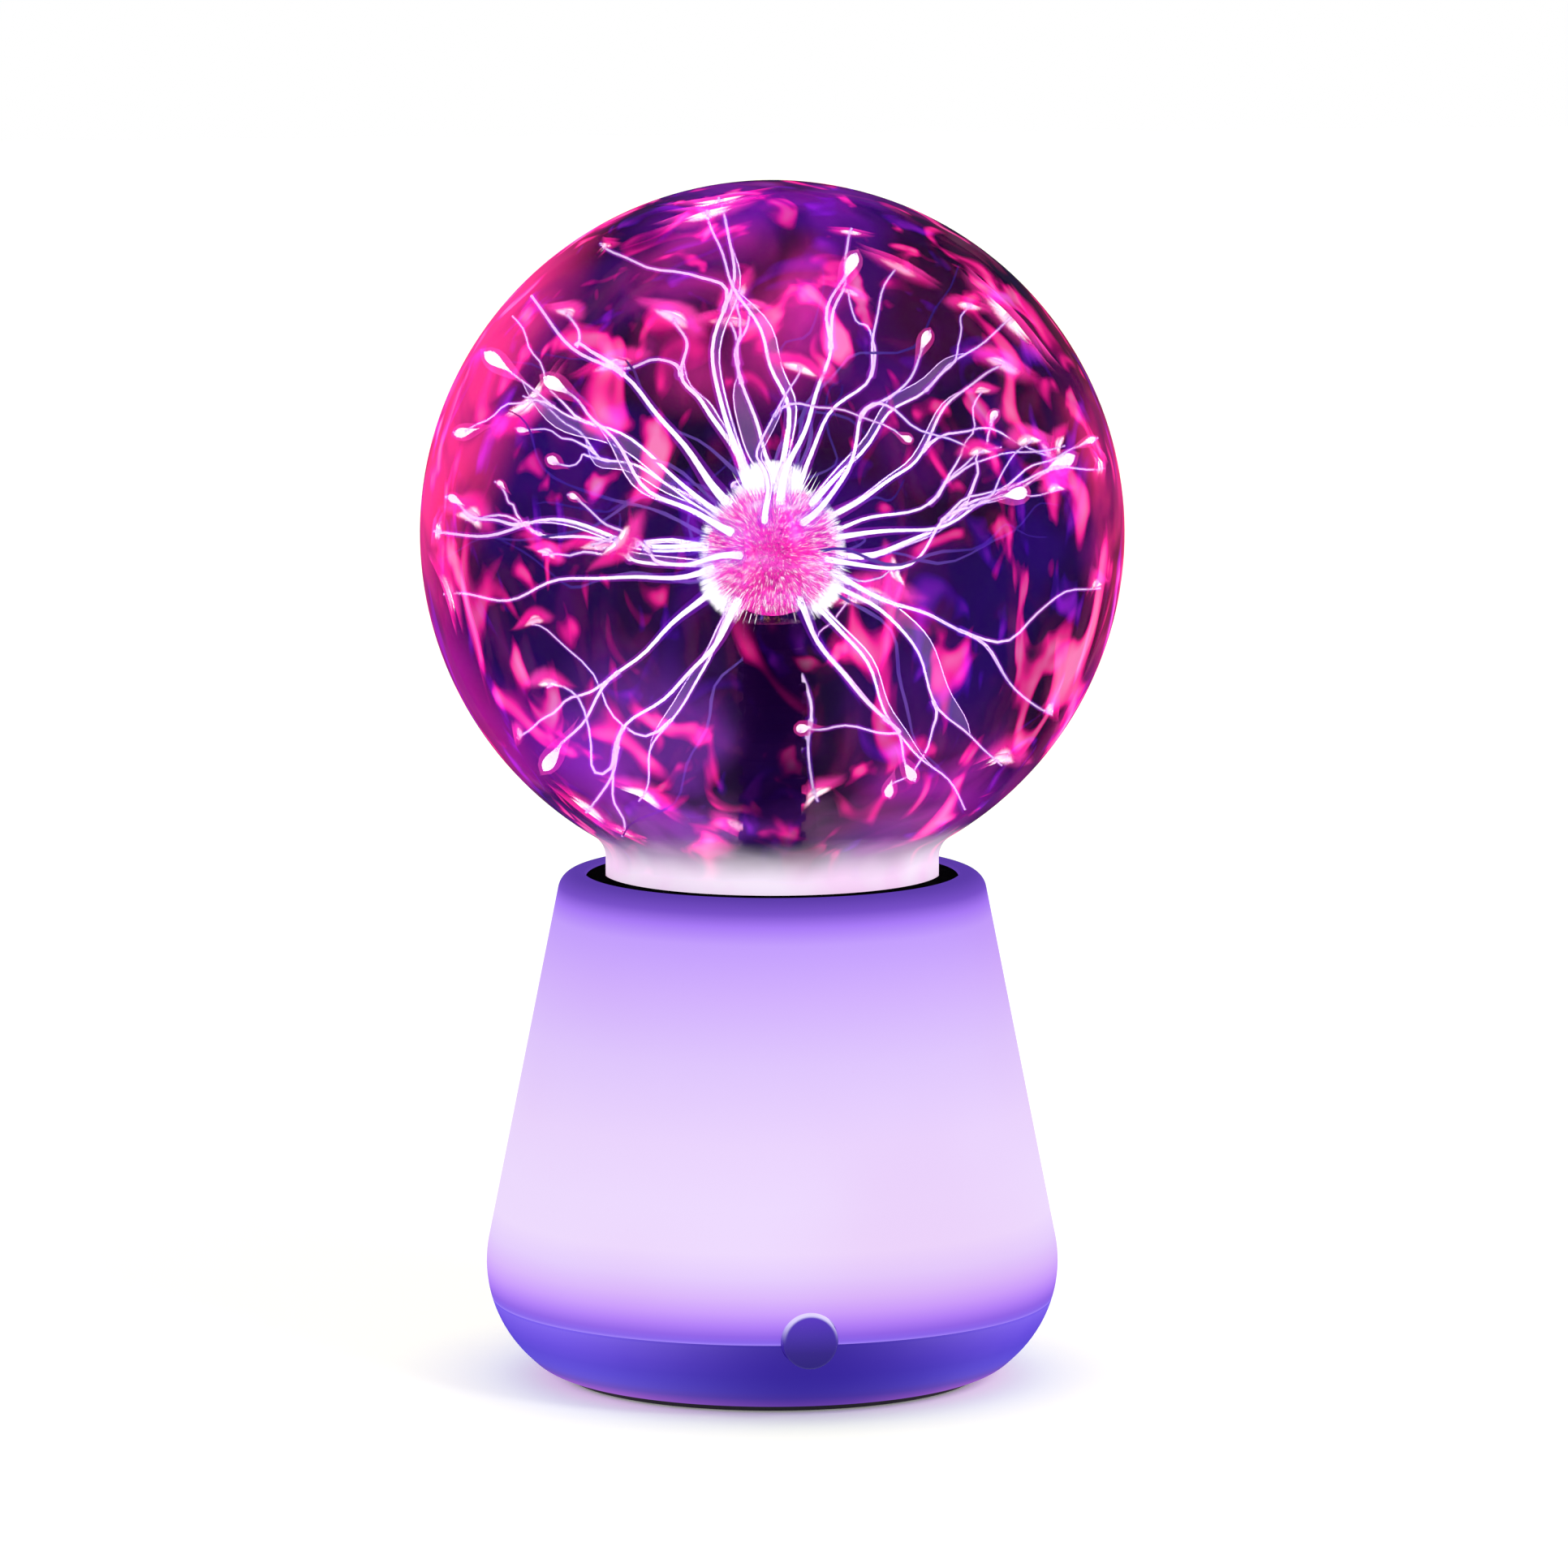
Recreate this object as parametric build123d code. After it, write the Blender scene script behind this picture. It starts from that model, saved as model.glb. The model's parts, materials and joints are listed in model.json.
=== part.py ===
from build123d import *

import os
from math import atan2, cos, degrees, radians, sin, sqrt, tan

# A plasma ball on a conical night-light base, standing on its rubber ring.
#
# Frame: millimetres, +Z up, origin at the middle of the face that it stands on. The push
# button faces -Y and the power socket +Y. Each function below makes one physical piece.

# ---------------------------------------------------------------- clearances
fit_gap = 0.15  # between mouldings that slot together
soft_gap = 0.3  # beside rubber and beside parts that are only dropped in
slide_gap = 0.2  # round the moving button
screw_gap = 0.05  # a screw's core in its pilot hole

# ---------------------------------------------------------------- glass envelope
ball_diameter = 120.0
glass_wall = 1.6
neck_diameter = 57.0
neck_blend = 9.0  # outside radius between ball and neck
neck_show = 5.4  # from the rim's top to where the ball would cut the neck
neck_depth = 15.6  # from the rim's top down to the end of the neck
bulb_diameter = 26.0
bulb_wall = 1.4
bulb_drop = 3.2  # the electrode sits this far under the ball's middle
stem_diameter = 15.0
bulb_blend = 4.0
flare_radius = 8.0  # where the stem flares out to close the neck
exhaust_diameter = 5.0
exhaust_length = 9.0
exhaust_bore = 3.0
exhaust_ring = 19.0  # distance of the exhaust tip from the axis
exhaust_angle = 40.0

# ---------------------------------------------------------------- electrode inside the stem
core_gap = 0.4
rod_diameter = 3.0
rod_in_core = 9.0
rod_in_boot = 7.0
rib_pitch = 3.2
rib_width = 1.4
rib_height = 0.8
insulator_below = 3.0  # how far the insulator stands out of the stem's mouth
boot_diameter = 17.0
boot_height = 11.0
spout_diameter = 6.4
lead_run = 7.6  # from the spout's end to the middle of the transformer's stud

# ---------------------------------------------------------------- base, outside
base_height = 87.0
flare = 14.9  # from the rim out to where cone and heel would meet if they were not rounded
flank_height = 12.1
heel_tuck = 12.1  # from there in to where the heel would meet the underside
belly_share = 0.76  # of the heel's slope, taken by the round above it
heel_share = 0.85  # of what that leaves, taken by the round below it
rim_width = 3.9  # across the rolled rim, before rounding
rim_round = 3.3
lip_round = 0.6
lip_gap = 3.7  # between neck and rim, filled by the gasket
seam_height = 13.4
seam_round = 0.4
wall = 2.2
skirt_wall = 1.8
skirt_depth = 7.5  # the rim's inner skirt hangs this far under its top
foot_thickness = 2.2
foot_recess = 0.8  # how deep the rubber ring sits in the pan
foot_width = 4.6
foot_diameter = 71.6
foot_chamfer = 0.4

# ---------------------------------------------------------------- joint between the two shells
tongue_wall = 1.2
tongue_height = 3.0
tongue_root = 3.0
hook_count = 6
hook_sweep = 16.0  # degrees round the axis
hook_bite = 0.5
hook_height = 1.0
hook_below = 0.3  # from the hook to the tongue's top

# ---------------------------------------------------------------- cup that holds the neck
cup_gap = 0.4
cup_floor = 2.2
cup_wall = 1.7
flange_thickness = 2.5
flange_reach = 0.8  # past the rim's skirt
collar_height = 2.5
ledge_width = 4.4  # cup floor under the glass
cement_thickness = 0.8
gasket_height = 3.2
gasket_round = 1.0

# ---------------------------------------------------------------- light baffle and lamp ring
baffle_wall = 1.4
baffle_flange = 1.6
flange_gap = 0.5  # from the baffle's flange to the lamps
tie_count = 4
tie_boss_diameter = 4.8
screw_diameter = 2.4
screw_head_diameter = 4.0
screw_head_height = 1.5
well_wall = 1.4
well_height = 2.8  # above the pan's floor
tie_screw_length = 10.0
lamp_board_height = 11.0  # underside of the lamp ring's board
board_thickness = 1.6
lamp_board_gap = 0.9  # to the shell
lamp_count = 12
lamp_size = 5.0
lamp_height = 1.6
lamp_lens = 3.6
lamp_inset = 0.6  # from the lamp to the board's edge
rest_rib_count = 8
rest_rib_width = 1.4
rest_rib_reach = 3.4  # under the board

# ---------------------------------------------------------------- push button and its switch
button_diameter = 9.4
button_height = 14.4
button_proud = 1.7
button_dome = 0.7
button_flange = 1.2  # how far the flange stands out past the cap
button_flange_thickness = 1.0
button_seat_wall = 1.2  # least wall in front of the flange
button_pad_margin = 1.4
button_travel = 0.8
button_stem = 4.4
guide_gap = 0.4  # left between flange and guide when pressed
guide_wall = 1.2
running_gap = 0.08  # round the stem and the plunger
stem_past_guide = 0.5
plunger_diameter = 3.4
plunger_proud = 1.0
plunger_depth = 1.0
switch_size = 6.2
switch_depth = 2.6
switch_foot_width = 1.4
switch_foot_height = 0.8
switch_foot_depth = 0.4
switch_board_thickness = 1.2
switch_board_width = 12.0
switch_board_rise = 6.6  # above and below the button's axis
carrier_wall = 1.2
carrier_lug = 6.0
carrier_post = 3.4
bay_gap = 0.5  # between the carrier and the lamp ring's cut-out

# ---------------------------------------------------------------- driver board and its parts
driver_width = 42.0
driver_depth = 38.0
driver_height = 8.0  # underside of the board
driver_corner = 2.0
post_diameter = 5.0
post_inset = 3.2
small_screw_diameter = 1.8
small_head_diameter = 3.4
small_head_height = 1.2
small_screw_length = 5.0
ferrite_width = 24.0
ferrite_height = 28.0
ferrite_leg = 5.0
ferrite_depth = 6.0
ferrite_y = 4.0
bobbin_slots = 5
bobbin_tube = 9.8
bobbin_flange_diameter = 16.4
bobbin_flange_thickness = 0.9
bobbin_gap = 0.2
winding_gap = 0.1
winding_depth = 2.0
primary_diameter = 11.0
primary_height = 9.0
primary_gap = 0.9  # to the transistor
output_stud = 4.0
output_height = 7.0
sink_width = 20.0
sink_height = 22.0
sink_plate = 2.0
sink_fins = 6
sink_fin = 1.1
sink_fin_depth = 3.5
sink_edge = 0.2  # from the fins to the board's edge
sink_y = 2.0
transistor_width = 10.0
transistor_height = 15.0
transistor_body = 9.0
transistor_depth = 4.4
transistor_tab = 1.3
transistor_lift = 4.0
transistor_leg = 0.8
capacitor_diameter = 8.0
capacitor_height = 12.0
capacitor_pitch = 9.5
capacitor_count = 2
capacitor_side = 10.0  # from the board's left edge to the first can
capacitor_front = 7.0  # from the board's front edge
small_capacitor_diameter = 5.0
small_capacitor_height = 9.0
small_capacitor_side = 14.5  # from the board's right edge
small_capacitor_front = 6.0
crimp_round = 0.6  # of the groove near a can's foot
crimp_depth = 0.3
choke_diameter = 8.6
choke_hole = 3.4
choke_height = 4.4
choke_side = 15.0  # from the board's left edge
choke_back = 5.6  # from the board's back edge
driver_chip = (5.0, 4.0)
driver_chip_side = 8.8  # from the board's right edge
driver_chip_front = 8.0
timer_chip = (6.0, 5.0)
timer_chip_side = 12.5
timer_chip_back = 5.5
chip_height = 1.5

# ---------------------------------------------------------------- power inlet
inlet_height = 8.4  # middle of the socket
socket_width = 9.0
socket_tall = 3.2
socket_length = 7.4
socket_metal = 0.3
socket_gap = 0.1
tongue_width = 6.6
tongue_thick = 0.7
tongue_length = 5.0
inlet_block_width = 15.0
inlet_block_wall = 3.6
inlet_recess = 2.4  # the flat face round the socket lies this far in from the skin
inlet_pocket_margin = 1.6
inlet_board_width = 15.0
inlet_board_reach = 2.9  # how far it reaches inside the lamp ring's bore
inlet_board_thickness = 1.0

# ---------------------------------------------------------------- vents and leads
vent_count = 5
vent_length = 16.0
vent_width = 1.8
vent_pitch = 5.0
lead_diameter = 3.0
lead_bend = 6.0
thin_lead_diameter = 1.3
thin_lead_bend = 1.8
thin_lead_gap = 0.9  # between neighbours
lead_arch = 3.4  # how far a lead arches over the board that it ends on
lead_edge = 1.6  # from a board's edge to its leads
switch_lead_x = 2.5  # middle of the pair
switch_lead_drop = 5.4  # under the button's axis
lamp_lead_count = 4
lamp_lead_drop = 2.2  # under the driver board

# ---------------------------------------------------------------- worked out from those
ball_radius = ball_diameter / 2
neck_radius = neck_diameter / 2
bulb_radius = bulb_diameter / 2
stem_radius = stem_diameter / 2
opening_radius = neck_radius + lip_gap
rim_radius = opening_radius + rim_width
ball_z = base_height + neck_show + sqrt(ball_radius**2 - neck_radius**2)
bulb_z = ball_z - bulb_drop
neck_end = base_height - neck_depth
glass_foot = neck_end - bulb_wall
insulator_foot = glass_foot - insulator_below
boot_foot = insulator_foot - boot_height
spout_z = insulator_foot - boot_height / 2
sink_x = driver_width / 2 - sink_edge - sink_fin_depth - sink_plate
primary_x = sink_x - transistor_depth - primary_gap - primary_diameter / 2
ferrite_x = primary_x + ferrite_leg / 2 - ferrite_width / 2
output_x = ferrite_x - ferrite_width / 2 - output_stud / 2 - bobbin_gap
output_y = ferrite_y
output_reach = sqrt(output_x**2 + output_y**2)
spout_angle = degrees(atan2(output_y, output_x))
spout_reach = output_reach - lead_run

pan_foot = foot_thickness - foot_recess
pan_floor = pan_foot + wall
flank_radius = rim_radius + flare
sole_radius = flank_radius - heel_tuck
far = 4 * flank_radius  # past everything
foot_outer = foot_diameter / 2
foot_inner = foot_outer - foot_width
tie_ring = (foot_outer + foot_inner) / 2
tongue_depth = wall + fit_gap + tongue_wall
skirt_foot = base_height - skirt_depth
flange_foot = skirt_foot - flange_thickness
cup_inner = neck_radius + cup_gap
cup_outer = cup_inner + cup_wall
cup_top = skirt_foot + collar_height
ledge_top = glass_foot - cement_thickness
cup_foot = ledge_top - cup_floor
baffle_inner = cup_outer + soft_gap
baffle_outer = baffle_inner + baffle_wall
lamp_board_top = lamp_board_height + board_thickness
well_top = pan_floor + well_height
screw_seat = well_top - well_wall
driver_top = driver_height + board_thickness


# ================================================================ drawing helpers
def box_between(low, high):
    """A plain block from its lowest to its highest corner."""
    size = [b - a for a, b in zip(low, high)]
    middle = [(a + b) / 2 for a, b in zip(low, high)]
    return Pos(*middle) * Box(*size)


def rod(radius, low, high, x=0.0, y=0.0):
    """An upright cylinder from one height to another."""
    return Pos(x, y, (low + high) / 2) * Cylinder(radius, high - low)


def ring(outer, inner, low, high):
    """An upright tube about the axis."""
    return rod(outer, low, high) - rod(inner, low - 1, high + 1)


def rod_along_y(radius, front, back, z, x=0.0):
    """A cylinder that lies along Y, from front to back."""
    return Pos(x, (front + back) / 2, z) * Rot(90, 0, 0) * Cylinder(radius, abs(back - front))


def window(r_low, r_high, z_low, z_high):
    """A rectangle in the half section, between two radii and two heights."""
    return Pos((r_low + r_high) / 2, (z_low + z_high) / 2) * Rectangle(r_high - r_low, z_high - z_low)


def spin(section):
    """Turns a half section, drawn as radius and height, about the axis."""
    return revolve(Plane.XZ * section, Axis.Z)


def around(count, first=0.0):
    """Turns about the axis that place a number of equal pieces."""
    return [Rot(0, 0, first + 360 * step / count) for step in range(count)]


def corners_at(section, radius, z):
    """The corner of a half section at a radius and height."""
    return [v for v in section.vertices() if abs(v.X - radius) < 0.01 and abs(v.Y - z) < 0.01]


def stadium(width, height, thickness):
    """A slot with full-round ends, across X and Z, of a thickness along Y."""
    outline = Plane.XZ * SlotOverall(width, height)
    return extrude(outline, amount=thickness / 2, both=True)


def wire(points, bend, diameter):
    """A round lead of straight runs joined by arcs."""
    route = FilletPolyline(*points, radius=bend)
    start = Plane(origin=route @ 0, z_dir=route % 0)
    return sweep(start * Circle(diameter / 2), path=route)


def pan_head_screw(head_radius, head_height, core_radius, length, seat, point_down=True):
    """A screw on the axis whose head rests on a seat; the shank ends in a short cone."""
    way = -1 if point_down else 1
    tip = core_radius * 1.2
    section = Polyline(
        (0, -way * head_height),
        (head_radius * 0.7, -way * head_height),
        (head_radius, -way * head_height * 0.5),
        (head_radius, 0),
        (core_radius, 0),
        (core_radius, way * (length - tip)),
        (0, way * length),
        close=True,
    )
    screw = revolve(Plane.XZ * make_face(section), Axis.Z)
    slot = Pos(0, 0, -way * head_height) * Box(head_radius * 1.2, 0.5, head_height * 0.7)
    cross = Pos(0, 0, -way * head_height) * Box(0.5, head_radius * 1.2, head_height * 0.7)
    return Pos(0, 0, seat) * (screw - slot - cross)


# ================================================================ outline of the base
def turned_corner(radius_share, before, corner, after):
    """Radius of the round at a corner that takes a share of the edge before it."""
    come = atan2(corner[1] - before[1], corner[0] - before[0])
    go = atan2(after[1] - corner[1], after[0] - corner[0])
    edge = sqrt((corner[0] - before[0]) ** 2 + (corner[1] - before[1]) ** 2)
    return radius_share * edge / tan((go - come) / 2)


def outline(depth):
    """Section of the base on both sides of the axis, depth in from the outside."""
    sole = (sole_radius, pan_foot)
    flank = (flank_radius, flank_height)
    rim = (rim_radius, base_height)
    belly_round = turned_corner(belly_share, sole, flank, rim)
    heel_round = turned_corner((1 - belly_share) * heel_share, flank, sole, (0, pan_foot))
    right = [(sole, abs(heel_round)), (flank, belly_round), (rim, rim_round)]
    points = [point for point, _ in right] + [(-x, z) for (x, z), _ in reversed(right)]
    radii = [radius for _, radius in right] + [radius for _, radius in reversed(right)]
    section = make_face(FilletPolyline(*points, radius=radii, close=True))
    return offset(section, -depth) if depth else section


def shell_radius(z, depth=0.0):
    """Radius at a height, depth in from the outside."""
    across = outline(depth) & Pos(0, z) * Rectangle(far, 0.01)
    return across.bounding_box().max.X


def skin(outer_depth, inner_depth, low, high):
    """Half section of the layer between two depths and two heights."""
    layer = outline(outer_depth) - outline(inner_depth)
    return layer & window(0, far, low, high)


def solid_body(depth):
    """The whole base as a solid, depth in from the outside."""
    return spin(outline(depth) & window(0, far, 0, far))


button_skin = shell_radius(button_height)
button_radius = button_diameter / 2
seat_radius = button_radius + button_flange + slide_gap
button_seat = shell_radius(button_height - seat_radius, button_seat_wall)
flange_front = button_seat - slide_gap
flange_back = flange_front - button_flange_thickness
guide_front = flange_back - button_travel - guide_gap
guide_back = guide_front - guide_wall
plunger_front = guide_back - stem_past_guide
switch_front = plunger_front - plunger_proud
switch_back = switch_front - switch_depth
switch_board_back = switch_back - switch_board_thickness
carrier_back = switch_board_back - fit_gap - carrier_wall
bay_edge = carrier_back - bay_gap
carrier_half = switch_board_width / 2 + fit_gap + carrier_wall
lamp_board_radius = shell_radius(lamp_board_height, wall + tongue_wall) - lamp_board_gap
lamp_ring = lamp_board_radius - lamp_inset - lamp_size / 2
baffle_flange_radius = lamp_ring - lamp_size / 2 - flange_gap
inlet_face = shell_radius(inlet_height) - inlet_recess


# ================================================================ glass envelope and electrode
def bottle(inset):
    """Section of the ball and its neck, inset from the outside, on both sides of the axis."""
    below = neck_end - 20
    ball = Pos(0, ball_z) * Circle(ball_radius - inset)
    half = neck_radius - inset
    outline = ball + window(-half, half, below, ball_z)
    joins = [v for v in outline.vertices() if below + 1 < v.Y < ball_z]
    return fillet(joins, neck_blend + inset)


def glass_globe():
    """Blown ball with an open neck."""
    glass = bottle(0) - bottle(glass_wall)
    return spin(glass & window(0, ball_radius + 1, neck_end, ball_z + ball_radius + 1))


def stem_outline(inset):
    """Section of the bulb, stem and flare, inset from the gas side, on both sides of the axis."""
    below = glass_foot - 20
    half = stem_radius - inset
    outline = Pos(0, bulb_z) * Circle(bulb_radius - inset)
    outline += window(-half, half, below, bulb_z)
    outline += window(-2 * neck_radius, 2 * neck_radius, below, neck_end - inset)
    throat = [v for v in outline.vertices() if neck_end + bulb_wall < v.Y < bulb_z]
    outline = fillet(throat, bulb_blend + inset)
    mouth = [v for v in outline.vertices() if abs(v.Y - neck_end + inset) < 0.01 and abs(v.X) < neck_radius]
    return fillet(mouth, flare_radius + inset)


def electrode_glass():
    """Inner bulb and stem, flared out at its foot to close the neck."""
    glass = stem_outline(0) - stem_outline(bulb_wall)
    return spin(glass & window(0, neck_radius, glass_foot, bulb_z + bulb_radius + 1))


def exhaust_tip():
    """Sealed glass tube under the flare, where the gas was let in."""
    radius = exhaust_diameter / 2
    shoulder = exhaust_length - exhaust_diameter
    end = -exhaust_length
    section = Polyline((0, 0), (radius, 0), (radius, -shoulder), (radius / 4, end), (0, end), close=True)
    hollow = rod(exhaust_bore / 2, -shoulder, 1)
    tip = revolve(Plane.XZ * make_face(section), Axis.Z) - hollow
    return Rot(0, 0, exhaust_angle) * Pos(exhaust_ring, 0, glass_foot) * tip


def rod_top():
    """Height of the rod's end, inside the ball of the electrode."""
    return bulb_z - core_radius() + rod_in_core


def core_radius():
    """Radius of the conductive ball, which fills the bulb but for a gap."""
    return bulb_radius - bulb_wall - core_gap


def electrode_core():
    """Conductive ball that fills the bulb, bored for the rod."""
    core = Pos(0, 0, bulb_z) * Sphere(core_radius())
    return core - rod(rod_diameter / 2 + screw_gap, bulb_z - 2 * core_radius(), rod_top())


def electrode_rod():
    """Brass rod from the boot up to the conductive ball."""
    return rod(rod_diameter / 2, insulator_foot - rod_in_boot, rod_top())


def stem_insulator():
    """Ribbed sleeve round the rod, inside the glass stem."""
    outer = stem_radius - bulb_wall - soft_gap
    top = bulb_z - core_radius() - 2 * core_gap
    sleeve = rod(outer - rib_height, insulator_foot, top)
    ribs = int((top - glass_foot) / rib_pitch)
    for step in range(ribs):
        low = glass_foot + step * rib_pitch
        sleeve += rod(outer, low, low + rib_width)
    return sleeve - rod(rod_diameter / 2 + screw_gap, insulator_foot - 1, top + 1)


def high_voltage_boot():
    """Silicone boot under the stem, with a spout for its lead."""
    body = rod(boot_diameter / 2, boot_foot, insulator_foot)
    body = fillet(body.edges().group_by(Axis.Z)[0], boot_diameter / 8)
    spout = Pos(spout_reach / 2, 0, spout_z) * Rot(0, 90, 0) * Cylinder(spout_diameter / 2, spout_reach)
    body += Rot(0, 0, spout_angle) * spout
    return body - rod(rod_diameter / 2 + screw_gap, insulator_foot - rod_in_boot, insulator_foot + 1)


def high_voltage_lead():
    """Thick silicone lead from the transformer's stud to the boot's spout."""
    start = driver_top + ferrite_height - ferrite_leg + output_height
    points = [(output_reach, 0, start), (output_reach, 0, spout_z), (spout_reach, 0, spout_z)]
    return Rot(0, 0, spout_angle) * wire(points, lead_bend, lead_diameter)


# ================================================================ neck mounting
def neck_cement():
    """Silicone bead between the glass foot and the cup's ledge."""
    return ring(neck_radius - soft_gap, cup_outer - cup_wall - ledge_width + soft_gap, ledge_top, glass_foot)


def globe_cup():
    """White cup that holds the neck, with a flange trapped between rim and baffle."""
    cup = ring(cup_outer, cup_inner, ledge_top, skirt_foot)
    cup += ring(cup_outer, cup_inner - ledge_width, cup_foot, ledge_top)
    cup += ring(opening_radius + skirt_wall + flange_reach, cup_inner, flange_foot, skirt_foot)
    cup += ring(opening_radius - soft_gap, cup_inner, skirt_foot, cup_top)
    return cup


def neck_gasket():
    """Black ring that fills the gap between neck and rim."""
    section = window(neck_radius + soft_gap, opening_radius - soft_gap, cup_top, cup_top + gasket_height)
    return spin(fillet(section.vertices().group_by(Axis.Y)[-1], gasket_round))


# ================================================================ shells
def hook_band(low, high, bite):
    """Ring that stands out of the tongue towards the diffuser by a bite."""
    return skin(wall + fit_gap - bite, tongue_depth, low, high)


def button_cuts():
    """Hole for the cap and room for its flange, shared by both shells."""
    hole = rod_along_y(button_radius + slide_gap, -far, -button_seat + 1, button_height)
    seat = rod_along_y(seat_radius, -button_seat, -bay_edge, button_height)
    return hole + seat


def diffuser_shell():
    """Milky cone with a rolled rim, hooked over the pan's tongue."""
    section = skin(0, wall, seam_height, base_height) & window(opening_radius, far, 0, far)
    section += window(opening_radius, opening_radius + skirt_wall, skirt_foot, base_height - wall / 2)
    section = fillet(corners_at(section, opening_radius, base_height), lip_round)
    shell = spin(section)
    tongue_top = seam_height + tongue_height
    groove_top = tongue_top - hook_below + fit_gap
    shell -= spin(hook_band(groove_top - hook_height - 2 * fit_gap, groove_top, hook_bite + fit_gap))
    return shell - button_cuts()


def tie_places():
    """Turns that place the tie screws, clear of the button and the inlet."""
    return around(tie_count, 45)


def rest_ribs():
    """Radial ribs inside the pan that carry the lamp ring's board."""
    half = rest_rib_width / 2
    rib = box_between((lamp_board_radius - rest_rib_reach, -half, pan_foot), (far, half, lamp_board_height))
    return [turn * rib for turn in around(rest_rib_count, 180 / rest_rib_count)]


def inlet_block():
    """Thick pad inside the pan that takes the power socket."""
    inner = inlet_face - inlet_block_wall
    top = lamp_board_height - soft_gap
    half = inlet_block_width / 2
    return box_between((-half, inner, pan_foot), (half, far, top))


def button_pad():
    """Pad behind the button's hole, on the pan's wall and tongue, that stops the flange."""
    half = seat_radius + button_pad_margin
    low = button_height - half
    below = box_between((-half, -far, low), (half, -button_seat, seam_height))
    above = box_between((-half, -far, low), (half, -button_seat, seam_height + tongue_height))
    return (below & solid_body(wall / 2)) + (above & solid_body(wall + fit_gap))


def inlet_cuts():
    """Flat pocket outside and slot through the pad for the power socket."""
    pocket_width = socket_width + 2 * inlet_pocket_margin
    pocket_tall = socket_tall + 2 * inlet_pocket_margin
    pocket = Pos(0, inlet_face + 5, inlet_height) * stadium(pocket_width, pocket_tall, 10)
    slot = Pos(0, inlet_face, inlet_height)
    slot *= stadium(socket_width + 2 * socket_gap, socket_tall + 2 * socket_gap, 4 * inlet_block_wall)
    return pocket + slot


def driver_posts():
    """Places of the four posts under the driver board."""
    return GridLocations(driver_width - 2 * post_inset, driver_depth - 2 * post_inset, 2, 2)


def inlet_posts():
    """Places of the two posts under the inlet board."""
    y = inlet_board_back() + post_inset
    return [Pos(-inlet_board_width / 2 + post_inset, y), Pos(inlet_board_width / 2 - post_inset, y)]


def inlet_board_back():
    """Y of the inlet board's inner edge."""
    return baffle_inner + soft_gap - inlet_board_reach


def inlet_board_foot():
    """Height of the inlet board's underside."""
    return inlet_height - socket_tall / 2 - inlet_board_thickness


def carrier_posts():
    """Places of the two posts that the switch carrier is screwed to."""
    x = carrier_half + carrier_lug / 2
    y = -switch_board_back + carrier_lug / 2
    return [Pos(-x, y), Pos(x, y)]


def pan_posts():
    """Posts on the pan's floor, each with its pilot hole: (place, top)."""
    posts = [(place, driver_height) for place in driver_posts()]
    posts += [(place, inlet_board_foot()) for place in inlet_posts()]
    posts += [(place, pan_floor + carrier_post) for place in carrier_posts()]
    return posts


def hook_corners():
    """Two far corners of the sector that one hook fills."""
    half = radians(hook_sweep / 2)
    return [(far * cos(half), side * far * sin(half)) for side in (-1, 1)]


def hooks():
    """Short hooks round the tongue, which hold the diffuser down."""
    high = seam_height + tongue_height - hook_below
    band = spin(hook_band(high - hook_height, high, hook_bite))
    wedge = extrude(make_face(Polyline((0, 0), *hook_corners(), close=True)), amount=base_height)
    return [band & (turn * wedge) for turn in around(hook_count)]


def pan_skin():
    """Floor, heel and tongue of the pan."""
    section = skin(0, wall, pan_foot, seam_height)
    section += skin(wall / 2, tongue_depth, seam_height - tongue_root, seam_height)
    section = fillet(corners_at(section, shell_radius(seam_height), seam_height), seam_round)
    section += skin(wall + fit_gap, tongue_depth, seam_height, seam_height + tongue_height)
    return spin(section)


def screw_wells():
    """Tubes on the pan's floor that sink the heads of the tie screws."""
    outer = screw_head_diameter / 2 + slide_gap + well_wall
    return [turn * rod(outer, pan_foot, well_top, tie_ring) for turn in tie_places()]


def screw_holes():
    """Holes of the tie screws and pilot holes of the posts."""
    holes = []
    for turn in tie_places():
        holes.append(turn * rod(screw_head_diameter / 2 + slide_gap, 0, screw_seat, tie_ring))
        holes.append(turn * rod(screw_diameter / 2 + slide_gap, 0, well_top + 1, tie_ring))
    for place, top in pan_posts():
        holes.append(place * rod(small_screw_diameter / 2 + screw_gap, pan_floor - wall / 4, top + 1))
    return holes


def vents():
    """Slots through the pan's floor."""
    slot = extrude(SlotOverall(vent_length, vent_width, rotation=90), amount=wall, both=True)
    middle = (vent_count - 1) / 2
    return [Pos((step - middle) * vent_pitch, 0, pan_foot) * slot for step in range(vent_count)]


def lower_shell():
    """Pan of the base: floor, heel, tongue, posts, screw wells, vents and power inlet."""
    pan = pan_skin()
    pan += hooks()
    pan += solid_body(wall / 2) & (Part() + rest_ribs())
    pan += solid_body(0) & inlet_block()
    pan += button_pad()
    pan += screw_wells()
    pan += [place * rod(post_diameter / 2, pan_floor - wall / 2, top) for place, top in pan_posts()]
    pan &= solid_body(0)
    pan -= screw_holes()
    pan -= ring(foot_outer + fit_gap, foot_inner - fit_gap, 0, pan_foot + foot_recess)
    pan -= vents()
    return pan - inlet_cuts() - button_cuts()


def foot_ring():
    """Rubber ring that the base stands on."""
    section = window(foot_inner, foot_outer, 0, foot_thickness)
    return spin(chamfer(section.vertices().group_by(Axis.Y)[0], foot_chamfer))


# ================================================================ light baffle and lamp ring
def front_bay(low, high):
    """Room for the switch carrier, cut out of what stands round it."""
    half = carrier_half + bay_gap
    return box_between((-half, -far, low), (half, -bay_edge, high))


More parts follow.
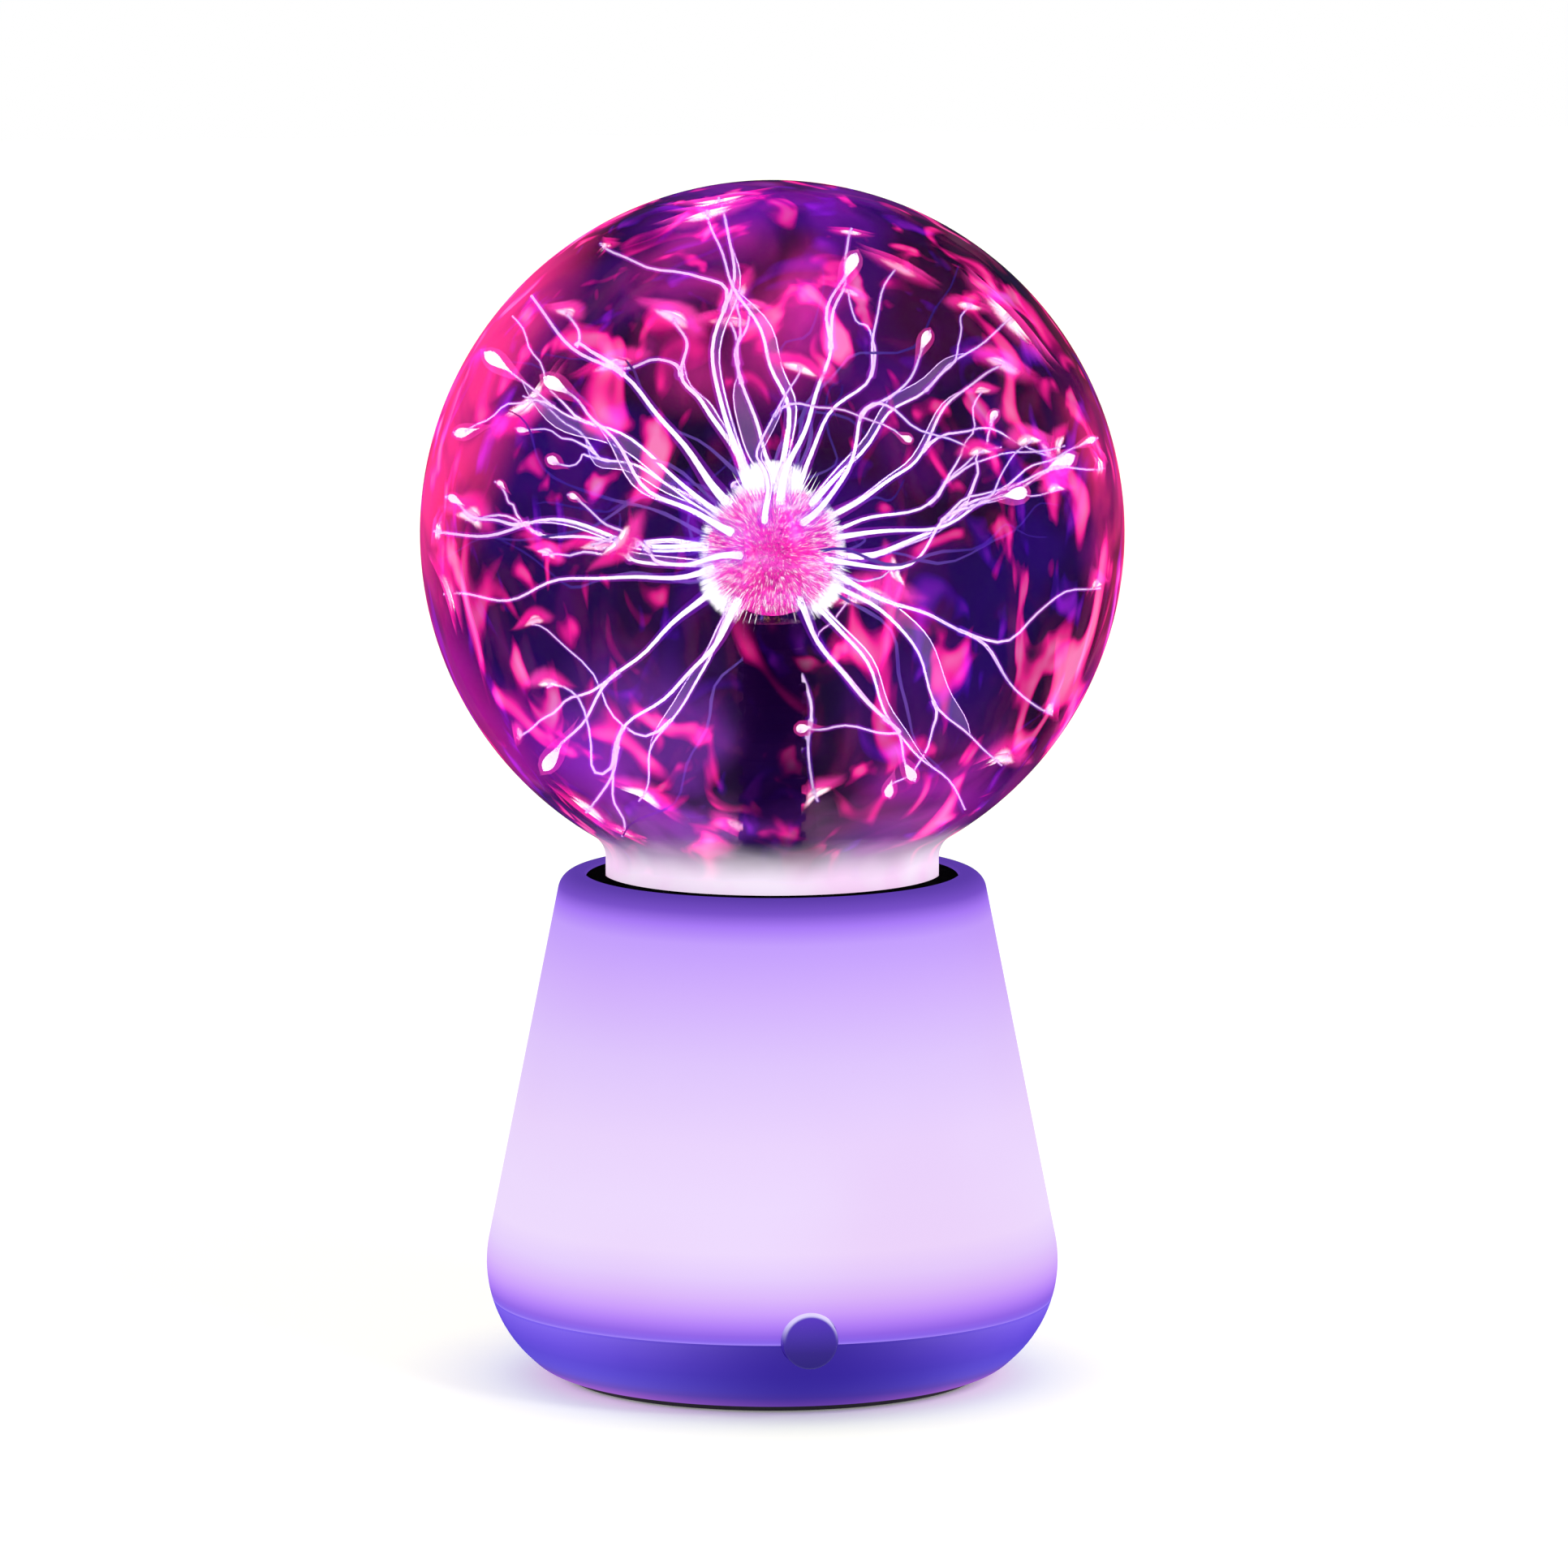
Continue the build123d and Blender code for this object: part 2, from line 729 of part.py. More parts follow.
def light_baffle():
    """White tube that carries the cup and keeps the lamps' light off the works."""
    flange = rod(baffle_flange_radius, lamp_board_top, lamp_board_top + baffle_flange)
    flange -= front_bay(lamp_board_top - 1, lamp_board_top + baffle_flange + 1)
    tube = flange + rod(baffle_outer, lamp_board_top, flange_foot)
    for turn in tie_places():
        tube += turn * rod(tie_boss_diameter / 2, well_top, lamp_board_top + 2 * baffle_flange, tie_ring)
    tube -= rod(baffle_inner, 0, base_height)
    for turn in tie_places():
        depth = screw_seat + tie_screw_length + soft_gap
        tube -= turn * rod(screw_diameter / 2 + screw_gap, well_top - 1, depth, tie_ring)
    return tube


def lamp_board():
    """Ring-shaped board that carries the lamps."""
    board = ring(lamp_board_radius, baffle_inner + soft_gap, lamp_board_height, lamp_board_top)
    board -= front_bay(lamp_board_height - 1, lamp_board_top + 1)
    for turn in tie_places():
        board -= turn * rod(tie_boss_diameter / 2 + soft_gap, 0, base_height, tie_ring)
    return board


def rgb_lamps():
    """Surface-mounted lamps, one at each step round the board but for the button's bay."""
    body = Pos(lamp_ring, 0, lamp_board_top + lamp_height / 2) * Box(lamp_size, lamp_size, lamp_height)
    top = lamp_board_top + lamp_height
    body -= rod(lamp_lens / 2, top - lamp_height / 3, top + 1, lamp_ring)
    return [turn * body for turn in around(lamp_count, -90)[1:]]


def tie_screws():
    """Screws from below that pull the baffle down on the lamp board and the pan."""
    head = (screw_head_diameter / 2, screw_head_height, screw_diameter / 2)
    screw = pan_head_screw(*head, tie_screw_length, screw_seat, point_down=False)
    return [turn * Pos(tie_ring, 0) * screw for turn in tie_places()]


# ================================================================ button and switch
def button_cap():
    """Round cap with a domed face, a flange that keeps it in and a stem."""
    face = button_skin + button_proud
    dome_radius = (button_radius**2 + button_dome**2) / (2 * button_dome)
    section = Pos(0, face - dome_radius) * Circle(dome_radius)
    section &= window(0, button_radius, face - button_dome, face)
    section += window(0, button_radius, flange_front, face - button_dome)
    section += window(0, button_radius + button_flange, flange_back, flange_front)
    section += window(0, button_stem / 2, plunger_front, flange_back)
    return Pos(0, 0, button_height) * Rot(90, 0, 0) * spin(section)


def switch_plunger():
    """Plunger of the switch, pushed by the cap's stem."""
    return rod_along_y(plunger_diameter / 2, -plunger_front, -switch_front + plunger_depth, button_height)


def push_switch():
    """Body of the momentary switch, with four feet on its board."""
    front, back = -switch_front, -switch_back
    half = switch_size / 2
    body = box_between((-half, front, button_height - half), (half, back, button_height + half))
    depth = plunger_depth + button_travel + slide_gap
    body -= rod_along_y(plunger_diameter / 2 + running_gap, front - 1, front + depth, button_height)
    foot = Box(switch_foot_width, switch_foot_depth, switch_foot_height)
    for x in (-half, half):
        for z in (-half / 2, half / 2):
            body += Pos(x, back - switch_foot_depth / 2, button_height + z) * foot
    return body


def switch_board():
    """Small upright board behind the switch."""
    half = switch_board_width / 2
    low = (-half, -switch_back, button_height - switch_board_rise)
    return box_between(low, (half, -switch_board_back, button_height + switch_board_rise))


def switch_carrier():
    """Bracket on the pan that guides the button's stem and holds its board."""
    low = pan_floor + carrier_post
    high = button_height + switch_board_rise + carrier_wall
    half = carrier_half
    back = -carrier_back
    block = box_between((-half, -guide_front, low), (half, back, high))
    room = switch_board_width / 2 - carrier_wall
    block -= box_between((-room, -guide_back, low + carrier_wall), (room, back + 1, high + 1))
    slot = switch_board_width / 2 + fit_gap
    slot_low = (-slot, -switch_back - fit_gap, button_height - switch_board_rise)
    block -= box_between(slot_low, (slot, -switch_board_back + fit_gap, high + 1))
    block -= rod_along_y(button_stem / 2 + running_gap, -guide_front - 1, -guide_back + 1, button_height)
    for place in carrier_posts():
        side = 1 if place.position.X > 0 else -1
        x, y = place.position.X, place.position.Y
        reach = carrier_lug / 2
        low_corner = (min(x - side * reach, x + side * reach), y - reach, low)
        block += box_between(low_corner, (low_corner[0] + carrier_lug, y + reach, low + carrier_wall))
        block -= rod(small_screw_diameter / 2 + slide_gap, low - 1, low + carrier_wall + 1, x, y)
    return block & solid_body(wall + tongue_wall + soft_gap)


# ================================================================ driver electronics
def plate(width, depth, low, thickness, corner):
    """A board with rounded corners."""
    return Pos(0, 0, low) * extrude(RectangleRounded(width, depth, corner), amount=thickness)


def driver_board():
    """Board of the high-voltage driver."""
    board = plate(driver_width, driver_depth, driver_height, board_thickness, driver_corner)
    for place in driver_posts():
        board -= place * rod(small_screw_diameter / 2 + slide_gap, driver_height - 1, driver_top + 1)
    return board


def small_screw(seat):
    """A small self-tapping screw, point down, no longer than its pilot hole in the pan."""
    length = min(small_screw_length, seat - pan_floor + wall / 4 - screw_gap)
    return pan_head_screw(small_head_diameter / 2, small_head_height, small_screw_diameter / 2, length, seat)


def driver_screws():
    """Screws of the driver board."""
    return [place * small_screw(driver_top) for place in driver_posts()]


def carrier_screws():
    """Screws of the switch carrier."""
    return [place * small_screw(pan_floor + carrier_post + carrier_wall) for place in carrier_posts()]


def inlet_screws():
    """Screws of the inlet board."""
    return [place * small_screw(inlet_board_foot() + inlet_board_thickness) for place in inlet_posts()]


def ferrite_core():
    """Two U-shaped halves of the transformer's core, ends together."""
    half = ferrite_width / 2
    low, middle, high = driver_top, driver_top + ferrite_height / 2, driver_top + ferrite_height
    y = (ferrite_y - ferrite_depth / 2, ferrite_y + ferrite_depth / 2)
    block = box_between((ferrite_x - half, y[0], low), (ferrite_x + half, y[1], high))
    gap = half - ferrite_leg
    room_low = (ferrite_x - gap, y[0] - 1, low + ferrite_leg)
    block -= box_between(room_low, (ferrite_x + gap, y[1] + 1, high - ferrite_leg))
    lower = block & box_between((-far, -far, low), (far, far, middle))
    upper = block & box_between((-far, -far, middle), (far, far, high))
    return [lower, upper]


def winding_window():
    """Lowest and highest point of the bobbin, between the core's yokes."""
    low = driver_top + ferrite_leg + bobbin_gap
    return low, driver_top + ferrite_height - ferrite_leg - bobbin_gap


def bobbin_x():
    """X of the leg that carries the bobbin."""
    return ferrite_x - ferrite_width / 2 + ferrite_leg / 2


def transformer_bobbin():
    """Sectioned bobbin of the high-voltage winding, with its output stud."""
    low, high = winding_window()
    bobbin = rod(bobbin_tube / 2, low, high)
    step = (high - low - bobbin_flange_thickness) / bobbin_slots
    for index in range(bobbin_slots + 1):
        bottom = low + index * step
        bobbin += rod(bobbin_flange_diameter / 2, bottom, bottom + bobbin_flange_thickness)
    half_leg, half_depth = ferrite_leg / 2 + bobbin_gap, ferrite_depth / 2 + bobbin_gap
    bobbin -= box_between((-half_leg, -half_depth, low - 1), (half_leg, half_depth, high + 1))
    bobbin = Pos(bobbin_x(), ferrite_y, 0) * bobbin
    stud_top = driver_top + ferrite_height - ferrite_leg + output_height
    return bobbin + rod(output_stud / 2, high - bobbin_flange_thickness, stud_top, output_x, output_y)


def secondary_winding():
    """Coils of fine wire in the bobbin's slots."""
    low, high = winding_window()
    step = (high - low - bobbin_flange_thickness) / bobbin_slots
    coils = []
    for index in range(bobbin_slots):
        bottom = low + index * step + bobbin_flange_thickness + winding_gap
        top = low + (index + 1) * step - winding_gap
        coil = ring(bobbin_tube / 2 + winding_gap + winding_depth, bobbin_tube / 2 + winding_gap, bottom, top)
        coils.append(Pos(bobbin_x(), ferrite_y, 0) * coil)
    return coils


def primary_winding():
    """Few thick turns on the transformer's other leg."""
    low = driver_top + ferrite_leg + bobbin_gap
    half_leg, half_depth = ferrite_leg / 2 + bobbin_gap, ferrite_depth / 2 + bobbin_gap
    high = low + primary_height
    turns = rod(primary_diameter / 2, low, high)
    turns -= box_between((-half_leg, -half_depth, low - 1), (half_leg, half_depth, high + 1))
    return Pos(primary_x, ferrite_y, 0) * turns


def heat_sink():
    """Finned aluminium plate behind the transistor."""
    half = sink_width / 2
    back = sink_x + sink_plate
    top = driver_top + sink_height
    sink = box_between((sink_x, sink_y - half, driver_top), (back, sink_y + half, top))
    pitch = (sink_width - sink_fin) / (sink_fins - 1)
    for index in range(sink_fins):
        y = sink_y - half + index * pitch
        sink += box_between((back, y, driver_top), (back + sink_fin_depth, y + sink_fin, top))
    return sink - transistor_hole(screw_gap)


def transistor_hole_z():
    """Height of the screw through the transistor's tab."""
    body_top = driver_top + transistor_lift + transistor_body
    return (body_top + driver_top + transistor_lift + transistor_height) / 2


def transistor_hole(gap):
    """Hole for the transistor's screw, along X, a gap wider than the screw all round."""
    hole = Cylinder(small_screw_diameter / 2 + gap, 4 * transistor_depth)
    return Pos(sink_x, sink_y, transistor_hole_z()) * Rot(0, 90, 0) * hole


def power_transistor():
    """Flat-tab transistor screwed to the heat sink, standing on three legs."""
    low = driver_top + transistor_lift
    left, right = sink_y - transistor_width / 2, sink_y + transistor_width / 2
    tab = box_between((sink_x - transistor_tab, left, low), (sink_x, right, low + transistor_height))
    tab += box_between((sink_x - transistor_depth, left, low), (sink_x, right, low + transistor_body))
    leg = Box(transistor_leg / 2, transistor_leg, transistor_lift)
    for index in (-1, 0, 1):
        y = sink_y + index * transistor_width / 4
        tab += Pos(sink_x - transistor_depth / 2, y, driver_top + transistor_lift / 2) * leg
    return tab - transistor_hole(slide_gap)


def transistor_screw():
    """Screw through the transistor's tab into the heat sink."""
    head = (small_head_diameter / 2, small_head_height, small_screw_diameter / 2)
    screw = pan_head_screw(*head, transistor_tab + sink_plate + small_head_height, 0, point_down=True)
    return Pos(sink_x - transistor_tab, sink_y, transistor_hole_z()) * Rot(0, -90, 0) * screw


def electrolytic_can(diameter, height):
    """Can with the crimp near its foot."""
    can = rod(diameter / 2, driver_top, driver_top + height)
    can = fillet(can.edges().group_by(Axis.Z)[-1], diameter / 16)
    crimp = Torus(diameter / 2 + crimp_round - crimp_depth, crimp_round)
    return can - Pos(0, 0, driver_top + height / 6) * crimp


def filter_capacitors():
    """Electrolytic cans along the board's front edge."""
    y = -driver_depth / 2
    cans = []
    for index in range(capacitor_count):
        x = -driver_width / 2 + capacitor_side + index * capacitor_pitch
        cans.append(Pos(x, y + capacitor_front) * electrolytic_can(capacitor_diameter, capacitor_height))
    small = electrolytic_can(small_capacitor_diameter, small_capacitor_height)
    cans.append(Pos(driver_width / 2 - small_capacitor_side, y + small_capacitor_front) * small)
    return cans


def choke_coil():
    """Wound ring that smooths the supply."""
    section = window(choke_hole / 2, choke_diameter / 2, driver_top, driver_top + choke_height)
    coil = spin(fillet(section.vertices(), choke_height / 4))
    return Pos(-driver_width / 2 + choke_side, driver_depth / 2 - choke_back) * coil


def control_chips():
    """The driver board's two chips."""
    driver = Pos(driver_width / 2 - driver_chip_side, -driver_depth / 2 + driver_chip_front)
    timer = Pos(driver_width / 2 - timer_chip_side, driver_depth / 2 - timer_chip_back)
    lift = Pos(0, 0, driver_top + chip_height / 2)
    return [driver * lift * Box(*driver_chip, chip_height), timer * lift * Box(*timer_chip, chip_height)]


# ================================================================ power inlet
def inlet_board():
    """Small board that carries the power socket."""
    half = inlet_board_width / 2
    foot = inlet_board_foot()
    front = inlet_face - inlet_block_wall - soft_gap
    board = box_between((-half, inlet_board_back(), foot), (half, front, foot + inlet_board_thickness))
    for place in inlet_posts():
        board -= place * rod(small_screw_diameter / 2 + slide_gap, foot - 1, foot + inlet_board_thickness + 1)
    return board


def power_socket():
    """Metal shell of the flat, round-ended power socket."""
    mouth = inlet_face - slide_gap
    middle = Pos(0, mouth - socket_length / 2, inlet_height)
    shell = middle * stadium(socket_width, socket_tall, socket_length)
    metal = 2 * socket_metal
    inside = stadium(socket_width - metal, socket_tall - metal, socket_length)
    return shell - Pos(0, socket_metal, 0) * middle * inside


def socket_insert():
    """Insulating block in the socket, with its contact tongue."""
    mouth = inlet_face - slide_gap
    back = mouth - socket_length + socket_metal
    thick = socket_length - tongue_length - 2 * socket_metal
    margin = 2 * (socket_metal + screw_gap)
    block = stadium(socket_width - margin, socket_tall - margin, thick)
    half, tall = tongue_width / 2, tongue_thick / 2
    end = back + thick + tongue_length - socket_metal
    tongue = box_between((-half, back, inlet_height - tall), (half, end, inlet_height + tall))
    return Pos(0, back + thick / 2, inlet_height) * block + tongue


# ================================================================ leads
def side_by_side(count, middle=0.0):
    """Places across a row of neighbouring leads."""
    pitch = thin_lead_diameter + thin_lead_gap
    return [middle + (index - (count - 1) / 2) * pitch for index in range(count)]


def supply_leads():
    """Pair of leads that arch from the inlet board over to the driver board."""
    start = inlet_board_back() + thin_lead_diameter
    end = driver_depth / 2 - lead_edge
    low = inlet_board_foot() + inlet_board_thickness
    high = driver_top + thin_lead_bend + 0.4
    leads = []
    for x in side_by_side(2):
        points = [(x, start, low), (x, start, high), (x, end, high), (x, end, driver_top)]
        leads.append(wire(points, thin_lead_bend, thin_lead_diameter))
    return leads


def switch_leads():
    """Pair of leads from the switch's board, under the lamp ring, up to the driver board."""
    end = -driver_depth / 2 + lead_edge
    rise = -driver_depth / 2 - thin_lead_bend - thin_lead_diameter / 2 - slide_gap
    low = button_height - switch_lead_drop
    high = driver_top + lead_arch
    leads = []
    for x in side_by_side(2, switch_lead_x):
        points = [(x, -switch_board_back, low), (x, rise, low), (x, rise, high)]
        points += [(x, end, high), (x, end, driver_top)]
        leads.append(wire(points, thin_lead_bend, thin_lead_diameter))
    return leads


def lamp_leads():
    """Flat row of leads from the lamp ring's board to the driver board's underside."""
    start = baffle_outer + lead_edge
    end = driver_width / 2 - lead_edge
    low = driver_height - lamp_lead_drop
    leads = []
    for y in side_by_side(lamp_lead_count):
        points = [(start, y, lamp_board_height), (start, y, low), (end, y, low), (end, y, driver_height)]
        leads.append(wire(points, thin_lead_bend, thin_lead_diameter))
    return leads


pieces = {
    "glass_globe": glass_globe,
    "electrode_glass": electrode_glass,
    "exhaust_tip": exhaust_tip,
    "electrode_core": electrode_core,
    "electrode_rod": electrode_rod,
    "stem_insulator": stem_insulator,
    "high_voltage_boot": high_voltage_boot,
    "high_voltage_lead": high_voltage_lead,
    "neck_cement": neck_cement,
    "globe_cup": globe_cup,
    "neck_gasket": neck_gasket,
    "diffuser_shell": diffuser_shell,
    "lower_shell": lower_shell,
    "foot_ring": foot_ring,
    "light_baffle": light_baffle,
    "lamp_board": lamp_board,
    "rgb_lamps": rgb_lamps,
    "tie_screws": tie_screws,
    "button_cap": button_cap,
    "switch_plunger": switch_plunger,
    "push_switch": push_switch,
    "switch_board": switch_board,
    "switch_carrier": switch_carrier,
    "carrier_screws": carrier_screws,
    "driver_board": driver_board,
    "driver_screws": driver_screws,
    "ferrite_core": ferrite_core,
    "transformer_bobbin": transformer_bobbin,
    "secondary_winding": secondary_winding,
    "primary_winding": primary_winding,
    "heat_sink": heat_sink,
    "power_transistor": power_transistor,
    "transistor_screw": transistor_screw,
    "filter_capacitors": filter_capacitors,
    "choke_coil": choke_coil,
    "control_chips": control_chips,
    "inlet_board": inlet_board,
    "inlet_screws": inlet_screws,
    "power_socket": power_socket,
    "socket_insert": socket_insert,
    "supply_leads": supply_leads,
    "switch_leads": switch_leads,
    "lamp_leads": lamp_leads,
}


def main():
    """Builds each piece and writes it as a STEP file of its own."""
    os.makedirs("parts", exist_ok=True)
    for name, build in pieces.items():
        made = build()
        solids = made if isinstance(made, list) else [made]
        export_step(Compound([s for piece in solids for s in piece.solids()]), f"parts/{name}.step")


main()
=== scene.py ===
"""Dresses a plasma ball: glowing globe, streamers, lit base and the works inside it."""

import json
import logging
import math
import random
from dataclasses import dataclass, field
from enum import Enum
from typing import Callable

import bmesh
import bpy
from mathutils import Matrix, Vector


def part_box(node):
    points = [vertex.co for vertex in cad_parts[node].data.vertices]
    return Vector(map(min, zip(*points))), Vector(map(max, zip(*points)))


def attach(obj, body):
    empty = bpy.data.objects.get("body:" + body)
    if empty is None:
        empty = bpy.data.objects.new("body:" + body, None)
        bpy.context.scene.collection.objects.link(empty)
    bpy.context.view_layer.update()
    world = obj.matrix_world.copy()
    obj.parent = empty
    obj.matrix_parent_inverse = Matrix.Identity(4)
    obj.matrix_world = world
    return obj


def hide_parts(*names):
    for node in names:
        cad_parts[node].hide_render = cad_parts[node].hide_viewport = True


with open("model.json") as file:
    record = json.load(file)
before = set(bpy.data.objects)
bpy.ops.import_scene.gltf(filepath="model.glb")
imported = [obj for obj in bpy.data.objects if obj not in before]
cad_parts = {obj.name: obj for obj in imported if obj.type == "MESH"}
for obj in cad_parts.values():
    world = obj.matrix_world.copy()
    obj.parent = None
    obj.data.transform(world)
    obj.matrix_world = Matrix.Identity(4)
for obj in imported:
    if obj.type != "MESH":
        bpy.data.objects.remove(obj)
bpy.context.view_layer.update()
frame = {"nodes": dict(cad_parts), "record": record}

MM = 0.001
CREASE = 32.0
BLACK = (0.0, 0.0, 0.0)
log = logging.getLogger("plasma_ball")

Colour = tuple[float, float, float]
Corner = tuple[float, float, float]
Point = tuple[float, float]
Path = tuple[list[Vector], list[float]]
Mark = tuple[Vector, Vector, float]
Stops = tuple[tuple[float, str], ...]
Socket = bpy.types.NodeSocket
Material = bpy.types.Material
Part = bpy.types.Object


def colour_of(code: str) -> Colour:
    """Linear colour of a six-digit hexadecimal display colour.

    Args:
        code: six hexadecimal digits, red first.

    Returns:
        Red, green and blue in linear light.
    """
    parts = [int(code[i : i + 2], 16) / 255 for i in (0, 2, 4)]
    red, green, blue = (c / 12.92 if c <= 0.04045 else ((c + 0.055) / 1.055) ** 2.4 for c in parts)
    return red, green, blue


# ================================================================ shader drawing board
class Sketch:
    """A material being drawn: its node tree, its one shader and shorthands for common nodes."""

    def __init__(self, name: str) -> None:
        """Starts a material with a single shader.

        Args:
            name: the material's name.
        """
        self.material = bpy.data.materials.new(name)
        self.material.use_nodes = True
        self.tree = self.material.node_tree
        self.shader = self.tree.nodes["Principled BSDF"]
        self.position = self.node("ShaderNodeTexCoord").outputs["Object"]

    def node(self, kind: str, **settings: object) -> bpy.types.Node:
        """Adds a node and sets its properties by name.

        Args:
            kind: the node's type.
            settings: its properties by name.

        Returns:
            The node.
        """
        made = self.tree.nodes.new(kind)
        for key, value in settings.items():
            setattr(made, key, value)
        return made

    def feed(self, source: object, socket: Socket) -> None:
        """Links a socket to another, or sets it to a plain value.

        Args:
            source: socket, number or colour.
            socket: input that takes it.
        """
        if isinstance(source, Socket):
            self.tree.links.new(source, socket)
        elif isinstance(source, tuple) and len(source) == 3 and socket.type == "RGBA":
            socket.default_value = (*source, 1.0)
        else:
            socket.default_value = source

    def set(self, **sockets: object) -> None:
        """Feeds the shader's sockets, named with underscores for spaces."""
        for key, value in sockets.items():
            self.feed(value, self.shader.inputs[key.replace("_", " ")])

    def maths(self, operation: str, first: object, second: object = 0.0) -> Socket:
        """Result of a sum on one or two numbers.

        Args:
            operation: the sum's name.
            first: number or socket.
            second: number or socket.

        Returns:
            The result.
        """
        made = self.node("ShaderNodeMath", operation=operation)
        self.feed(first, made.inputs[0])
        self.feed(second, made.inputs[1])
        return made.outputs[0]

    def stretched(self, scale: Corner, turn: Corner = (0.0, 0.0, 0.0)) -> Socket:
        """Object coordinates scaled and turned, for a pattern with a grain.

        Args:
            scale: factor along each axis.
            turn: turn about each axis, in radians.

        Returns:
            The coordinates.
        """
        made = self.node("ShaderNodeMapping")
        self.feed(self.position, made.inputs["Vector"])
        made.inputs["Scale"].default_value = scale
        made.inputs["Rotation"].default_value = turn
        return made.outputs[0]

    def noise(
        self,
        scale: float,
        detail: float = 2.0,
        distortion: float = 0.0,
        source: object = None,
        roughness: float = 0.5,
    ) -> Socket:
        """Cloudy number from 0 to 1, in object space.

        Args:
            scale: clouds per metre.
            detail: octaves of finer clouds.
            distortion: how far the clouds are swirled.
            source: coordinates in place of the object's own.
            roughness: how strong the finer clouds are.

        Returns:
            The noise's factor.
        """
        made = self.node("ShaderNodeTexNoise")
        self.feed(source or self.position, made.inputs["Vector"])
        made.inputs["Scale"].default_value = scale
        made.inputs["Detail"].default_value = detail
        made.inputs["Roughness"].default_value = roughness
        made.inputs["Distortion"].default_value = distortion
        return made.outputs["Fac"]

    def ramp(self, factor: object, stops: list[tuple[float, Colour]]) -> Socket:
        """Colour that follows a number through a list of stops.

        Args:
            factor: number from 0 to 1.
            stops: place and colour of each stop.

        Returns:
            The colour.
        """
        made = self.node("ShaderNodeValToRGB")
        marks = made.color_ramp.elements
        while len(marks) < len(stops):
            marks.new(0.5)
        # Moving a stop can change the order, so the colours follow once all are in place.
        for mark, (place, _) in zip(marks, stops):
            mark.position = place
        for mark, (_, colour) in zip(marks, stops):
            mark.color = (*colour, 1.0)
        self.feed(factor, made.inputs["Fac"])
        return made.outputs["Color"]

    def level(self, factor: object, low: float, high: float, least: float = 0.0, most: float = 1.0) -> Socket:
        """Number moved smoothly from the range low to high to the range least to most.

        Args:
            factor: the number.
            low: where the result starts to change.
            high: where it stops changing.
            least: result at low.
            most: result at high.

        Returns:
            The result.
        """
        made = self.node("ShaderNodeMapRange", interpolation_type="SMOOTHSTEP")
        for index, value in enumerate((factor, low, high, least, most)):
            self.feed(value, made.inputs[index])
        return made.outputs[0]

    def speckle(self, pattern: Socket, least: float, most: float) -> Socket:
        """Noise, most of which lies between 0.3 and 0.7, spread over the range least to most.

        Args:
            pattern: the noise.
            least: result where the noise is low.
            most: result where it is high.

        Returns:
            The result.
        """
        return self.level(pattern, 0.3, 0.7, least, most)

    def mix(self, factor: object, first: object, second: object, blend: str = "MIX") -> Socket:
        """Two colours mixed.

        Args:
            factor: share of the second colour.
            first: colour or socket.
            second: colour or socket.
            blend: how the second is laid on the first.

        Returns:
            The colour.
        """
        # This node lists its colour sockets after those for numbers and vectors.
        made = self.node("ShaderNodeMix", data_type="RGBA", blend_type=blend)
        self.feed(factor, made.inputs[0])
        self.feed(first, made.inputs[6])
        self.feed(second, made.inputs[7])
        return made.outputs[2]

    def axis(self, letter: str) -> Socket:
        """One coordinate of the object's own space, in metres.

        Args:
            letter: X, Y or Z.

        Returns:
            The coordinate.
        """
        made = self.node("ShaderNodeSeparateXYZ")
        self.feed(self.position, made.inputs[0])
        return made.outputs[letter]

    def facing(self, centre: Corner, way: Vector, wide: float, narrow: float = 0.0) -> Socket:
        """One where a point lies in a direction from a centre, falling to nothing at an angle.

        Args:
            centre: point that the directions are taken from, in metres.
            way: unit vector of the direction.
            wide: angle at which the result is nothing, in degrees.
            narrow: angle within which the result is one.

        Returns:
            The factor.
        """
        shifted = self.node("ShaderNodeVectorMath", operation="SUBTRACT")
        self.feed(self.position, shifted.inputs[0])
        shifted.inputs[1].default_value = centre
        unit = self.node("ShaderNodeVectorMath", operation="NORMALIZE")
        self.feed(shifted.outputs[0], unit.inputs[0])
        along = self.node("ShaderNodeVectorMath", operation="DOT_PRODUCT")
        self.feed(unit.outputs[0], along.inputs[0])
        along.inputs[1].default_value = way
        limits = (math.cos(math.radians(angle)) for angle in (wide, narrow))
        return self.level(along.outputs["Value"], *limits)

    def distance(self, centre: Corner, axes: Corner = (1.0, 1.0, 1.0)) -> Socket:
        """Distance of a point from a centre, in metres, counting only the axes that are one.

        Args:
            centre: the centre, with nothing on the axes that do not count.
            axes: one for each axis that counts and nothing for the others.

        Returns:
            The distance.
        """
        made = self.node("ShaderNodeVectorMath", operation="DISTANCE")
        self.feed(self.stretched(axes), made.inputs[0])
        made.inputs[1].default_value = centre
        return made.outputs["Value"]

    def bump(self, height: object, depth: float, strength: float = 1.0) -> None:
        """Raises the shader's surface by a number times a depth in metres.

        Args:
            height: number that varies over the surface.
            depth: height of a whole one, in metres.
            strength: share of the effect.
        """
        made = self.node("ShaderNodeBump")
        made.inputs["Strength"].default_value = strength
        made.inputs["Distance"].default_value = depth
        self.feed(height, made.inputs["Height"])
        self.feed(made.outputs[0], self.shader.inputs["Normal"])


